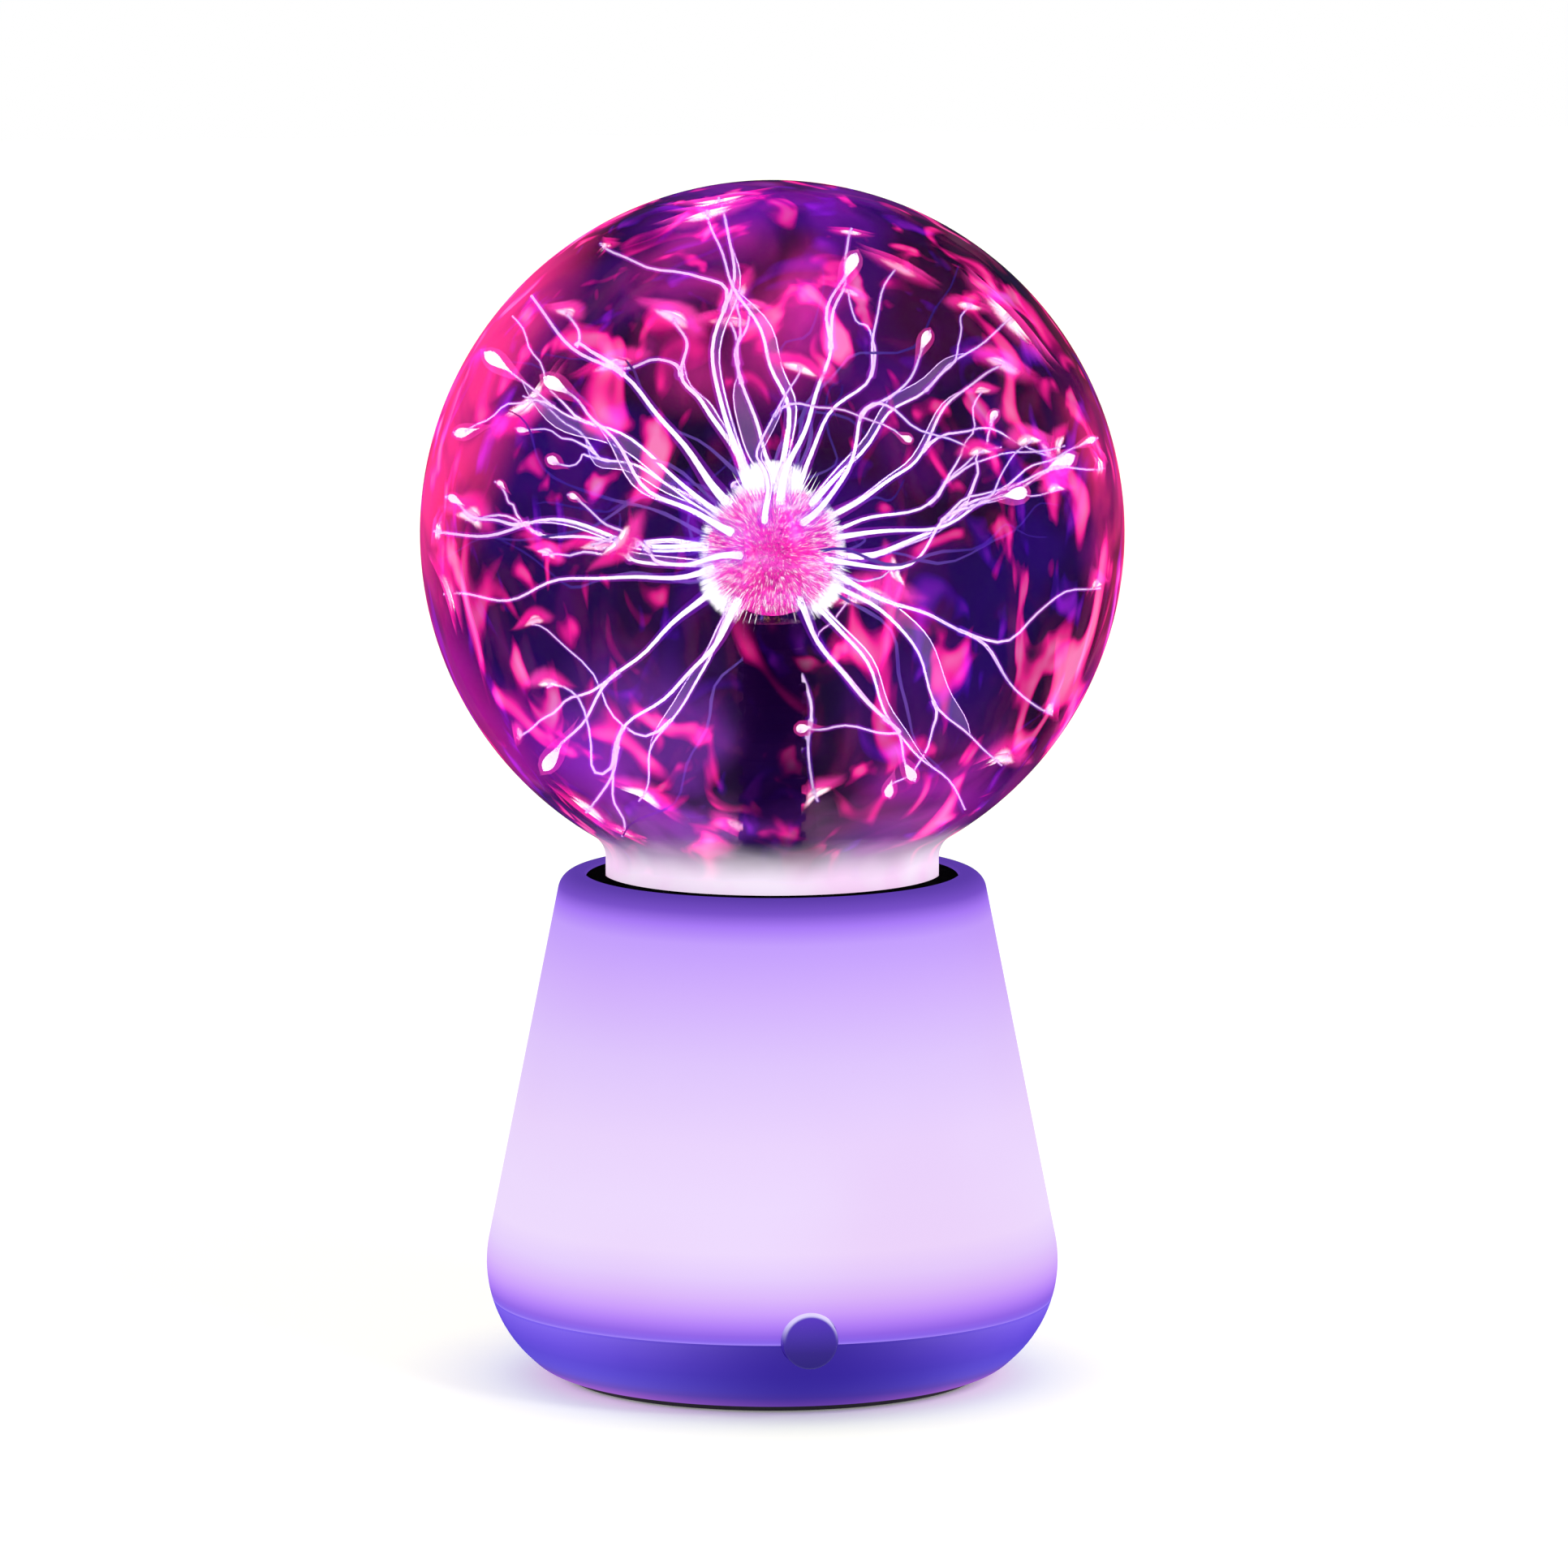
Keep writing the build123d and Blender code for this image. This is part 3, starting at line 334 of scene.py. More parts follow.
# ================================================================ finishes
@dataclass(frozen=True)
class MouldedPlastic:
    """Moulded plastic with a fine spark-eroded grain and slightly cloudy colour."""

    name: str
    colour: Colour
    roughness: float = 0.42
    grain: float = 1400.0
    grain_depth: float = 0.02 * MM

    def material(self) -> Material:
        """Builds the material.

        Returns:
            The material.
        """
        art = Sketch(self.name)
        cloud = art.noise(90.0, 3.0)
        darker = tuple(c * 0.86 for c in self.colour)
        art.set(Base_Color=art.ramp(cloud, [(0.3, darker), (0.7, self.colour)]))
        fine = art.noise(self.grain, 2.0)
        art.set(Roughness=art.speckle(fine, self.roughness - 0.06, self.roughness + 0.08))
        art.bump(fine, self.grain_depth, 0.5)
        return art.material


@dataclass(frozen=True)
class WorkedMetal:
    """Metal with fine drawing lines along one axis and faint tarnish."""

    name: str
    colour: Colour
    roughness: float = 0.3
    lines: Corner = (300.0, 300.0, 4000.0)

    def material(self) -> Material:
        """Builds the material.

        Returns:
            The material.
        """
        art = Sketch(self.name)
        lines = art.noise(1.0, 2.0, source=art.stretched(self.lines))
        tarnish = art.noise(160.0, 4.0)
        darker = tuple(c * 0.7 for c in self.colour)
        art.set(Base_Color=art.ramp(tarnish, [(0.25, darker), (0.6, self.colour)]), Metallic=1.0)
        art.set(Roughness=art.speckle(lines, self.roughness - 0.08, self.roughness + 0.12))
        art.bump(lines, 0.01 * MM, 0.6)
        return art.material


@dataclass(frozen=True)
class SoftRubber:
    """Silicone or rubber with a dusty, dull skin."""

    name: str
    colour: Colour
    roughness: float = 0.62
    gloss: float = 0.3

    def material(self) -> Material:
        """Builds the material.

        Returns:
            The material.
        """
        art = Sketch(self.name)
        dust = art.noise(220.0, 5.0)
        lighter = tuple(min(1.0, c * 1.4 + 0.002) for c in self.colour)
        art.set(Base_Color=art.ramp(dust, [(0.4, self.colour), (0.8, lighter)]))
        art.set(Roughness=art.level(dust, 0.3, 0.8, self.roughness - 0.1, self.roughness + 0.12))
        art.set(Specular_IOR_Level=self.gloss)
        art.bump(art.noise(1800.0, 2.0), 0.02 * MM, 0.5)
        return art.material


@dataclass(frozen=True)
class SolderResist:
    """Lacquered circuit board with the copper's tracks showing faintly under the lacquer."""

    name: str
    colour: Colour
    track_width: float = 1.6 * MM

    def material(self) -> Material:
        """Builds the material.

        Returns:
            The material.
        """
        art = Sketch(self.name)
        cells = art.node("ShaderNodeTexVoronoi", distance="MANHATTAN", feature="DISTANCE_TO_EDGE")
        art.feed(art.position, cells.inputs["Vector"])
        cells.inputs["Scale"].default_value = 0.25 / self.track_width
        track = art.level(cells.outputs["Distance"], 0.08, 0.12)
        lighter = tuple(min(1.0, c * 1.5 + 0.01) for c in self.colour)
        art.set(Base_Color=art.mix(track, lighter, self.colour))
        art.set(Roughness=art.speckle(art.noise(500.0, 2.0), 0.28, 0.4))
        art.bump(track, -0.03 * MM, 0.6)
        return art.material


@dataclass(frozen=True)
class WoundWire:
    """Enamelled wire wound on a former: fine turns stacked along the height."""

    name: str
    colour: Colour
    pitch: float = 0.35 * MM

    def material(self) -> Material:
        """Builds the material.

        Returns:
            The material.
        """
        art = Sketch(self.name)
        phase = art.maths("MULTIPLY", art.axis("Z"), math.tau / self.pitch)
        ridge = art.maths("SINE", phase)
        # The grooves between the turns are darker: painted shade.
        darker = tuple(c * 0.45 for c in self.colour)
        art.set(Base_Color=art.mix(art.level(ridge, -0.9, 0.4), darker, self.colour), Metallic=0.7)
        art.set(Roughness=art.speckle(art.noise(700.0, 2.0), 0.22, 0.38), Coat_Weight=0.4)
        art.bump(ridge, 0.06 * MM, 0.8)
        return art.material


@dataclass(frozen=True)
class LampLens:
    """Lamp body whose lens glows a pale violet all over."""

    name: str = "lamp lens"

    def material(self) -> Material:
        """Builds the material.

        Returns:
            The material.
        """
        art = Sketch(self.name)
        cloud = art.noise(400.0, 2.0)
        art.set(Base_Color=art.ramp(cloud, [(0.3, (0.75, 0.74, 0.68)), (0.7, (0.9, 0.89, 0.84))]))
        art.set(Roughness=art.speckle(cloud, 0.15, 0.3), Emission_Color=(0.75, 0.55, 1.0))
        art.set(Emission_Strength=0.6, Coat_Weight=0.5)
        return art.material


@dataclass(frozen=True)
class LitPlastic:
    """Plastic that glows, changing with the height, with painted shade and a painted highlight where asked.
    """

    name: str
    foot: float
    top: float
    glow: Stops
    tint: str
    lit: float = 0.86
    body: float = 0.12
    patch: float = 14.0
    roughness: float = 0.45
    gloss: float = 0.0
    # Painted shade round a point, painted shade in a recess and a painted highlight on the upper edge of a
    # disc.
    shade: tuple[Corner, float] | None = None
    shade_tint: str = "301f92"
    recess_shade: tuple[Corner, float] | None = None
    recess_shade_tint: str = "150c46"
    rim: tuple[Corner, float] | None = None
    rim_highlight_tint: str = "dcd2ff"

    def material(self) -> Material:
        """Builds the material.

        Returns:
            The material; a painted shade darkens it round a point and a painted recess shade more narrowly,
            along X most, and a painted highlight lights the upper edge of a disc that faces -Y.
        """
        art = Sketch(self.name)
        height = art.maths("DIVIDE", art.maths("SUBTRACT", art.axis("Z"), self.foot), self.top - self.foot)
        glow = art.ramp(height, [(place, colour_of(code)) for place, code in self.glow])
        cloud = art.level(art.noise(self.patch, 2.0), 0.42, 0.7, 0.0, 0.3)
        glow = art.mix(cloud, glow, art.mix(0.5, glow, colour_of(self.tint), "MULTIPLY"))
        # Painted shade: darker round a point.
        if self.shade:
            centre, reach = self.shade
            dark = art.level(art.distance(centre), 0.0, reach, 0.9, 0.0)
            glow = art.mix(dark, glow, colour_of(self.shade_tint))
        # Painted shade in a recess, narrower along X; depth is how much of it falls at a point.
        if self.recess_shade:
            centre, reach = self.recess_shade
            depth = art.level(art.distance(centre, (0.6, 1.0, 1.0)), 0.3 * reach, reach, 0.8, 0.0)
            glow = art.mix(depth, glow, colour_of(self.recess_shade_tint))
        # Painted highlight: lighter on the upper part of a disc's edge.
        if self.rim:
            centre, radius = self.rim
            edge = art.level(art.distance(centre, (1.0, 0.0, 1.0)), 0.86 * radius, 0.97 * radius)
            upper = art.level(height, 0.45, 0.95)
            glow = art.mix(art.maths("MULTIPLY", edge, upper), glow, colour_of(self.rim_highlight_tint))
        art.set(Base_Color=art.mix(self.body, BLACK, glow), Emission_Color=glow, Emission_Strength=self.lit)
        fine = art.noise(1500.0, 2.0)
        rough = art.speckle(fine, self.roughness - 0.05, self.roughness + 0.07)
        art.set(Roughness=rough, Specular_IOR_Level=self.gloss)
        art.bump(fine, 0.015 * MM, 0.5)
        return art.material


@dataclass(frozen=True)
class Haze:
    """Cloud of glow on the globe, placed as it is seen from the ball's middle."""

    azimuth: float
    rise: float
    spread: float
    colour: Colour

    @property
    def way(self) -> Vector:
        """Unit vector towards the cloud: azimuth 0 is the button's side, 90 its right."""
        a, e = math.radians(self.azimuth), math.radians(self.rise)
        return Vector((math.sin(a) * math.cos(e), -math.cos(a) * math.cos(e), math.sin(e)))


@dataclass(frozen=True)
class GlowingGas:
    """Glass wall with the gas's glow: dark, with pink and violet flames; its frosted neck glows with painted
    light.

    Attributes:
        name: the material's name.
        centre: height of the ball's middle, in metres.
        frost_low: height up to which the frost is whole.
        frost_high: height at which it ends.
        skin: distance from the ball's middle that parts the inner face from the outer.
        outer: how much the outer face hides.
        inner: how much the inner face hides.
        hazes: clouds of glow.
        calm: places with hardly any glow, so that the stem shows.
    """

    name: str
    centre: float
    frost_low: float
    frost_high: float
    skin: float
    outer: float
    inner: float
    hazes: tuple[Haze, ...] = (
        Haze(-98, 22, 44, (1.25, 0.04, 0.20)),
        Haze(-88, -26, 26, (0.34, 0.005, 0.14)),
        Haze(86, 10, 38, (1.10, 0.035, 0.20)),
        Haze(84, -34, 26, (0.34, 0.005, 0.12)),
        Haze(-18, 46, 24, (0.55, 0.02, 0.22)),
        Haze(4, 84, 30, (0.16, 0.005, 0.26)),
        Haze(-55, -44, 24, (0.16, 0.005, 0.20)),
        Haze(34, -48, 22, (0.18, 0.005, 0.14)),
        Haze(-26, -36, 28, (0.12, 0.02, 0.24)),
        Haze(15, -36, 28, (0.15, 0.012, 0.13)),
        Haze(150, 25, 40, (0.55, 0.015, 0.18)),
        Haze(-160, -12, 34, (0.18, 0.005, 0.30)),
        Haze(-130, 45, 26, (0.40, 0.01, 0.20)),
    )
    calm: tuple[Haze, ...] = tuple(Haze(-6, rise, 12, (0.001, 0.0, 0.008)) for rise in (-4, -22, -40, -60))

    def clouds(self, art: Sketch) -> Socket:
        """Large soft clouds, broken up by noise.

        Args:
            art: the material being drawn.

        Returns:
            The colour.
        """
        middle = (0.0, 0.0, self.centre)
        glow = art.ramp(art.noise(24.0, 2.0, 0.8), [(0.44, (0.0015, 0.0, 0.008)), (0.62, (0.012, 0.0, 0.11))])
        broken = art.level(art.noise(34.0, 3.0, 1.0, art.stretched((1.0, 1.0, 0.7))), 0.32, 0.62, 0.06, 1.12)
        for haze in self.hazes:
            amount = art.maths("MULTIPLY", art.facing(middle, haze.way, haze.spread), broken)
            glow = art.mix(amount, glow, haze.colour, "ADD")
        return glow

    def flames(self, art: Sketch) -> Socket:
        """Colour of the glow: clouds, magenta tongues with hot pink edges and violet wisps.

        Args:
            art: the material being drawn.

        Returns:
            The colour.
        """
        upright = art.stretched((1.0, 1.0, 0.55))
        leaning = art.stretched((1.0, 1.0, 0.5), (0.5, -0.6, 0.3))
        strokes = art.noise(80.0, 1.8, 1.0, upright, roughness=0.45)
        licks = art.noise(72.0, 2.0, 1.5, leaning, roughness=0.45)
        wisps = art.noise(60.0, 2.0, 2.0, leaning)
        fringe = [(0.585, BLACK), (0.615, (0.25, 0.0, 0.07))]
        pink = [*fringe, (0.65, (0.95, 0.012, 0.24)), (0.75, (1.0, 0.22, 0.48))]
        violet = [(0.58, BLACK), (0.63, (0.03, 0.0, 0.20)), (0.73, (0.30, 0.01, 0.70))]
        glow = art.mix(1.0, self.clouds(art), art.ramp(strokes, pink), "ADD")
        glow = art.mix(0.8, glow, art.ramp(licks, pink), "ADD")
        glow = art.mix(0.7, glow, art.ramp(wisps, violet), "ADD")
        for haze in self.calm:
            quiet = art.facing((0.0, 0.0, self.centre), haze.way, haze.spread, haze.spread * 0.45)
            glow = art.mix(art.maths("MULTIPLY", quiet, 0.9), glow, haze.colour)
        return glow

    def material(self) -> Material:
        """Builds the material.

        Returns:
            The material; the outer face hides more of what is behind it than the inner face does.
        """
        art = Sketch(self.name)
        edge = art.maths("SUBTRACT", art.noise(40.0, 3.0), 0.5)
        height = art.maths("ADD", art.axis("Z"), art.maths("MULTIPLY", edge, 0.008))
        frost = art.maths("SUBTRACT", 1.0, art.level(height, self.frost_low, self.frost_high))
        # The frost's white glow is painted light.
        milky = art.ramp(art.noise(75.0, 2.0), [(0.42, (0.56, 0.48, 0.58)), (0.66, (0.57, 0.34, 0.54))])
        glow = art.mix(frost, self.flames(art), milky)
        art.set(Base_Color=art.mix(frost, (0.004, 0.0, 0.012), (0.50, 0.46, 0.52)), Emission_Color=glow)
        away = art.distance((0.0, 0.0, self.centre))
        cover = art.level(away, self.skin - 0.2 * MM, self.skin + 0.2 * MM, self.inner, self.outer)
        art.set(Emission_Strength=1.0, Alpha=art.maths("MAXIMUM", cover, frost))
        smear = art.noise(60.0, 3.0)
        art.set(Roughness=art.speckle(smear, 0.03, 0.09), Specular_IOR_Level=0.0)
        return art.material


@dataclass(frozen=True)
class Discharge:
    """Self-lit gas of one brightness that lets some of what is behind it through."""

    name: str
    cold: Colour
    hot: Colour
    strength: float
    solid: float = 1.0
    patch: float = 120.0
    fading: bool = False
    source: float | None = None
    reach: Point = (18 * MM, 60 * MM)
    loss: float = 0.5

    def material(self) -> Material:
        """Builds the material.

        Returns:
            The material; a fading one thins out towards its leaf's rim, and one with a source changes away
            from it.
        """
        art = Sketch(self.name)
        glow = art.ramp(art.noise(self.patch, 2.0), [(0.35, self.cold), (0.65, self.hot)])
        art.set(Base_Color=BLACK, Roughness=1.0, Specular_IOR_Level=0.0)
        art.set(Emission_Color=glow, Emission_Strength=self.strength, Alpha=self.solid)
        if self.source is not None:
            away = art.level(art.distance((0.0, 0.0, self.source)), *self.reach)
            dimmer = art.maths("MULTIPLY", away, self.loss * self.strength)
            art.set(Emission_Color=art.mix(away, glow, self.cold))
            art.set(Emission_Strength=art.maths("SUBTRACT", self.strength, dimmer))
        if self.fading:
            body = art.node("ShaderNodeAttribute", attribute_name="body").outputs["Fac"]
            art.set(Alpha=art.level(body, 0.0, 0.9, 0.0, self.solid))
        art.material.cycles.emission_sampling = "NONE"
        return art.material


@dataclass(frozen=True)
class ElectrodeFire:
    """Conductive filling of the bulb, mottled pink by the discharge that leaves it."""

    name: str
    strength: float

    def material(self) -> Material:
        """Builds the material.

        Returns:
            The material.
        """
        art = Sketch(self.name)
        lumps = art.noise(170.0, 3.0, 1.0, art.stretched((0.55, 0.8, 1.5), (0.0, 0.5, 0.0)))
        fire = art.ramp(
            lumps,
            [
                (0.34, colour_of("de1c9c")),
                (0.45, colour_of("f628ac")),
                (0.55, colour_of("fc3cc2")),
                (0.64, colour_of("fc64d4")),
                (0.74, colour_of("fcc0ee")),
            ],
        )
        art.set(Base_Color=(0.4, 0.1, 0.3), Roughness=0.6)
        art.set(Emission_Color=fire, Emission_Strength=self.strength)
        art.bump(lumps, 0.6 * MM)
        return art.material


@dataclass(frozen=True)
class StemGlass:
    """Inner glass: nearly unseen round the bulb and stem, frosted where it flares, with painted light in the
    frost.
    """

    name: str
    frost_low: float
    frost_high: float
    strength: float
    cover: float = 0.1

    def material(self) -> Material:
        """Builds the material.

        Returns:
            The material.
        """
        art = Sketch(self.name)
        frost = art.maths("SUBTRACT", 1.0, art.level(art.axis("Z"), self.frost_low, self.frost_high))
        art.set(Base_Color=art.mix(frost, (0.01, 0.0, 0.03), (0.5, 0.46, 0.52)))
        # The frost glows with painted light.
        art.set(Emission_Color=art.mix(frost, (0.02, 0.0, 0.10), (0.40, 0.34, 0.42)))
        denser = art.maths("MULTIPLY", frost, 1 - self.cover)
        art.set(Emission_Strength=self.strength, Alpha=art.maths("ADD", self.cover, denser))
        art.set(Roughness=art.speckle(art.noise(80.0, 3.0), 0.03, 0.1), Specular_IOR_Level=0.1)
        return art.material


@dataclass(frozen=True)
class RibbedShadow:
    """Dark sleeve whose ribs catch a little blue light."""

    name: str
    foot: float
    top: float
    strength: float

    def material(self) -> Material:
        """Builds the material.

        Returns:
            The material.
        """
        art = Sketch(self.name)
        height = art.level(art.axis("Z"), self.foot, self.top)
        blue = art.ramp(height, [(0.0, (0.006, 0.002, 0.040)), (0.35, (0.002, 0.001, 0.018)), (0.75, BLACK)])
        cloud = art.speckle(art.noise(130.0, 2.0), 0.4, 1.3)
        art.set(Base_Color=(0.01, 0.008, 0.02), Roughness=0.5)
        art.set(Emission_Color=art.mix(cloud, BLACK, blue), Emission_Strength=self.strength)
        return art.material


# ================================================================ mesh shop
def finish_mesh(name: str, mesh: bmesh.types.BMesh, material: Material | None, sharp: float = CREASE) -> Part:
    """Turns a bmesh into a smooth-shaded object with its sharp edges kept.

    Args:
        name: the object's name.
        mesh: the mesh, which is freed.
        material: its one material, or none where something else dresses it.
        sharp: edges that turn more than this many degrees stay crisp.

    Returns:
        The new object, in the scene.
    """
    data = bpy.data.meshes.new(name)
    bmesh.ops.recalc_face_normals(mesh, faces=mesh.faces)
    mesh.to_mesh(data)
    mesh.free()
    if material:
        data.materials.append(material)
    data.shade_smooth()
    data.set_sharp_from_angle(angle=math.radians(sharp))
    made = bpy.data.objects.new(name, data)
    bpy.context.scene.collection.objects.link(made)
    return made


def arc(centre: Point, radius: float, start: float, end: float, steps: int) -> list[Point]:
    """Points along an arc, with both its ends.

    Args:
        centre: its middle.
        radius: its radius.
        start: angle of its first point, in radians.
        end: angle of its last point.
        steps: how many runs it has.

    Returns:
        The points, one more than the steps.
    """
    turns = (start + (end - start) * step / steps for step in range(steps + 1))
    return [(centre[0] + radius * math.cos(a), centre[1] + radius * math.sin(a)) for a in turns]


def rounded(corners: list[Corner], closed: bool = True, step: float = 8.0) -> list[Point]:
    """Outline with rounded corners.

    Args:
        corners: radius, height and corner rounding of each corner, in metres.
        closed: whether the last corner joins the first.
        step: degrees between the points of an arc.

    Returns:
        Points of the outline.
    """
    outline: list[Point] = []
    count = len(corners)
    for index, (x, z, bend) in enumerate(corners):
        if bend <= 0 or (not closed and index in (0, count - 1)):
            outline.append((x, z))
            continue
        here = Vector((x, z))
        before = (Vector(corners[index - 1][:2]) - here).normalized()
        after = (Vector(corners[(index + 1) % count][:2]) - here).normalized()
        opening = before.angle(after)
        reach = bend / math.tan(opening / 2)
        centre = here + (before + after).normalized() * (bend / math.sin(opening / 2))
        start, end = here + before * reach - centre, here + after * reach - centre
        sweep = start.angle_signed(end)
        steps = max(2, int(abs(math.degrees(sweep)) / step) + 1)
        for turn in range(steps + 1):
            spoke = start.copy()
            spoke.rotate(Matrix.Rotation(-sweep * turn / steps, 2))
            outline.append(tuple(centre + spoke))
    return outline


def inset(corners: list[Corner], depth: float) -> list[Corner]:
    """Open outline moved inwards, to its left, by a depth, with its rounding kept concentric.

    Args:
        corners: radius, height and rounding of each corner, in order from the axis at the foot.
        depth: how far to move, in metres.

    Returns:
        The moved corners.
    """
    moved: list[Corner] = []
    points = [Vector(c[:2]) for c in corners]
    shifts = []
    for a, b in zip(points, points[1:]):
        run = (b - a).normalized()
        shifts.append((a + Vector((-run.y, run.x)) * depth, run))
    for index, (_, _, bend) in enumerate(corners):
        if index == 0:
            spot = shifts[0][0]
        elif index == len(corners) - 1:
            spot = shifts[-1][0] + (points[-1] - points[-2])
        else:
            (a, u), (b, v) = shifts[index - 1], shifts[index]
            along = (b - a).cross(v) / u.cross(v)
            spot = a + u * along
        turn_left = 0.0
        if 0 < index < len(corners) - 1:
            turn_left = shifts[index - 1][1].cross(shifts[index][1])
        moved.append((spot.x, spot.y, max(bend - math.copysign(depth, turn_left), 0.0) if bend else 0.0))
    return moved


def lathe(
    name: str, outline: list[Point], material: Material | None, segments: int, sharp: float = CREASE
) -> Part:
    """Turns a closed outline of radius and height about the axis.

    Args:
        name: the object's name.
        outline: closed outline; points on the axis become poles.
        material: its material.
        segments: steps round the axis.
        sharp: crease angle in degrees.

    Returns:
        The new object.
    """
    mesh = bmesh.new()
    rings = []
    for radius, height in outline:
        if radius < 1e-7:
            rings.append([mesh.verts.new((0.0, 0.0, height))] * segments)
            continue
        spokes = (math.tau * step / segments for step in range(segments))
        rings.append([mesh.verts.new((radius * math.cos(a), radius * math.sin(a), height)) for a in spokes])
    for low, high in zip(rings, rings[1:] + rings[:1]):
        for step in range(segments):
            after = (step + 1) % segments
            corners = list(dict.fromkeys((low[step], low[after], high[after], high[step])))
            if len(corners) > 2:
                mesh.faces.new(corners)
    return finish_mesh(name, mesh, material, sharp)


def carve(piece: Part, cutter: Part, operation: str = "DIFFERENCE") -> None:
    """Cuts, adds or overlaps one closed mesh with another and throws the other away.

    Args:
        piece: mesh that changes.
        cutter: mesh that is thrown away.
        operation: DIFFERENCE, UNION or INTERSECT.
    """
    modifier = piece.modifiers.new("cut", "BOOLEAN")
    modifier.operation = operation
    modifier.solver = "EXACT"
    modifier.object = cutter
    graph = bpy.context.evaluated_depsgraph_get()
    carved = bpy.data.meshes.new_from_object(piece.evaluated_get(graph))
    piece.modifiers.clear()
    piece.data = carved
    bpy.data.objects.remove(cutter)
    carved.set_sharp_from_angle(angle=math.radians(CREASE))


def bar(size: Corner, middle: Corner, turn: Matrix) -> Part:
    """Bar with round ends, to carve with.

    Args:
        size: full length along X, full width along Y and full depth along Z, before the turn.
        middle: where its middle goes.
        turn: the turn about its middle.

    Returns:
        The bar, in the scene, without a material.
    """
    bend, straight = size[1] / 2, (size[0] - size[1]) / 2
    outline = arc((straight, 0.0), bend, -math.pi / 2, math.pi / 2, 12)
    outline += [(-x, -y) for x, y in outline]
    mesh = bmesh.new()
    low, high = ([mesh.verts.new((x, y, side * size[2] / 2)) for x, y in outline] for side in (-1, 1))
    for index, start in enumerate(low):
        end = (index + 1) % len(low)
        mesh.faces.new((start, low[end], high[end], high[index]))
    mesh.faces.new(low)
    mesh.faces.new(high)
    bmesh.ops.transform(mesh, matrix=Matrix.Translation(middle) @ turn, verts=mesh.verts)
    return finish_mesh("cutter", mesh, None)


def store_vectors(mesh: bpy.types.Mesh, name: str, vectors: list[Vector]) -> None:
    """Keeps a vector at each of a mesh's points under a name."""
    layer = mesh.attributes.new(name, "FLOAT_VECTOR", "POINT")
    layer.data.foreach_set("vector", [number for vector in vectors for number in vector])


def settle(piece: Part, body: str, slot: str, *nodes: str) -> Part:
    """Lets a piece ride on a body, hides the CAD nodes that it stands for and names them in the log.

    Args:
        piece: the piece.
        body: body that it rides on.
        slot: its material slot; not used.
        nodes: CAD nodes that it stands for.

    Returns:
        The same piece.
    """
    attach(piece, body)
    if nodes:
        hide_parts(*nodes)
    log.info("%s rides on %s, for %s", piece.name, body, ", ".join(nodes) or "nothing in CAD")
    return piece


class Tree:
    """A Geometry Nodes tree being drawn, with named inputs."""

    def __init__(self, name: str) -> None:
        """Starts a tree that takes and gives a geometry.

        Args:
            name: the tree's name.
        """
        self.group = bpy.data.node_groups.new(name, "GeometryNodeTree")
        self.group.interface.new_socket("Geometry", in_out="INPUT", socket_type="NodeSocketGeometry")
        self.group.interface.new_socket("Geometry", in_out="OUTPUT", socket_type="NodeSocketGeometry")
        self.source = self.group.nodes.new("NodeGroupInput")
        self.sink = self.group.nodes.new("NodeGroupOutput")
        self.material: Material | None = None

    def size(self, name: str, default: float) -> Socket:
        """Adds a named number to the tree's inputs.

        Args:
            name: the input's name.
            default: its value where none is given.

        Returns:
            The input, as a socket.
        """
        socket = self.group.interface.new_socket(name, in_out="INPUT", socket_type="NodeSocketFloat")
        socket.default_value = default
        return self.source.outputs[name]

    def node(self, kind: str, **sockets: object) -> bpy.types.Node:
        """Adds a node and feeds its inputs by name.

        Args:
            kind: the node's type.
            sockets: values or sockets by input, with underscores for spaces.

        Returns:
            The node.
        """
        made = self.group.nodes.new(kind)
        for key, value in sockets.items():
            socket = made.inputs[key.replace("_", " ")]
            if isinstance(value, Socket):
                self.group.links.new(value, socket)
            else:
                socket.default_value = value
        return made

    def attribute(self, name: str, kind: str) -> Socket:
        """Reads a named attribute of the points.

        Args:
            name: the attribute's name.
            kind: its data type.

        Returns:
            Its values, as a socket.
        """
        made = self.group.nodes.new("GeometryNodeInputNamedAttribute")
        made.data_type = kind
        made.inputs["Name"].default_value = name
        return made.outputs["Attribute"]

    def close(self, geometry: Socket, material: Material) -> None:
        """Ends the tree: instances made real and a material set.

        Args:
            geometry: what the last node gives.
            material: its one material.
        """
        real = self.node("GeometryNodeRealizeInstances", Geometry=geometry)
        dressed = self.node("GeometryNodeSetMaterial", Geometry=real.outputs[0], Material=material)
        self.material = material
        self.group.links.new(dressed.outputs[0], self.sink.inputs[0])

    def grow(self, name: str, seed: Part, sizes: dict[str, float]) -> Part:
        """Runs the tree on an object and keeps the result as a plain mesh.

        Args:
            name: the new object's name.
            seed: object that the tree starts from, which is thrown away.
            sizes: values of the tree's named inputs.

        Returns:
            The new object, with no modifier.
        """
        modifier = seed.modifiers.new(self.group.name, "NODES")
        modifier.node_group = self.group
        for item in self.group.interface.items_tree:
            if item.in_out == "INPUT" and item.name in sizes:
                modifier[item.identifier] = sizes[item.name]
        bpy.context.view_layer.update()
        graph = bpy.context.evaluated_depsgraph_get()
        mesh = bpy.data.meshes.new_from_object(seed.evaluated_get(graph))
        mesh.name = name
        mesh.materials.clear()
        mesh.materials.append(self.material)
        mesh.polygons.foreach_set("material_index", [0] * len(mesh.polygons))
        mesh.shade_smooth()
        made = bpy.data.objects.new(name, mesh)
        bpy.context.scene.collection.objects.link(made)
        bpy.data.objects.remove(seed)
        return made


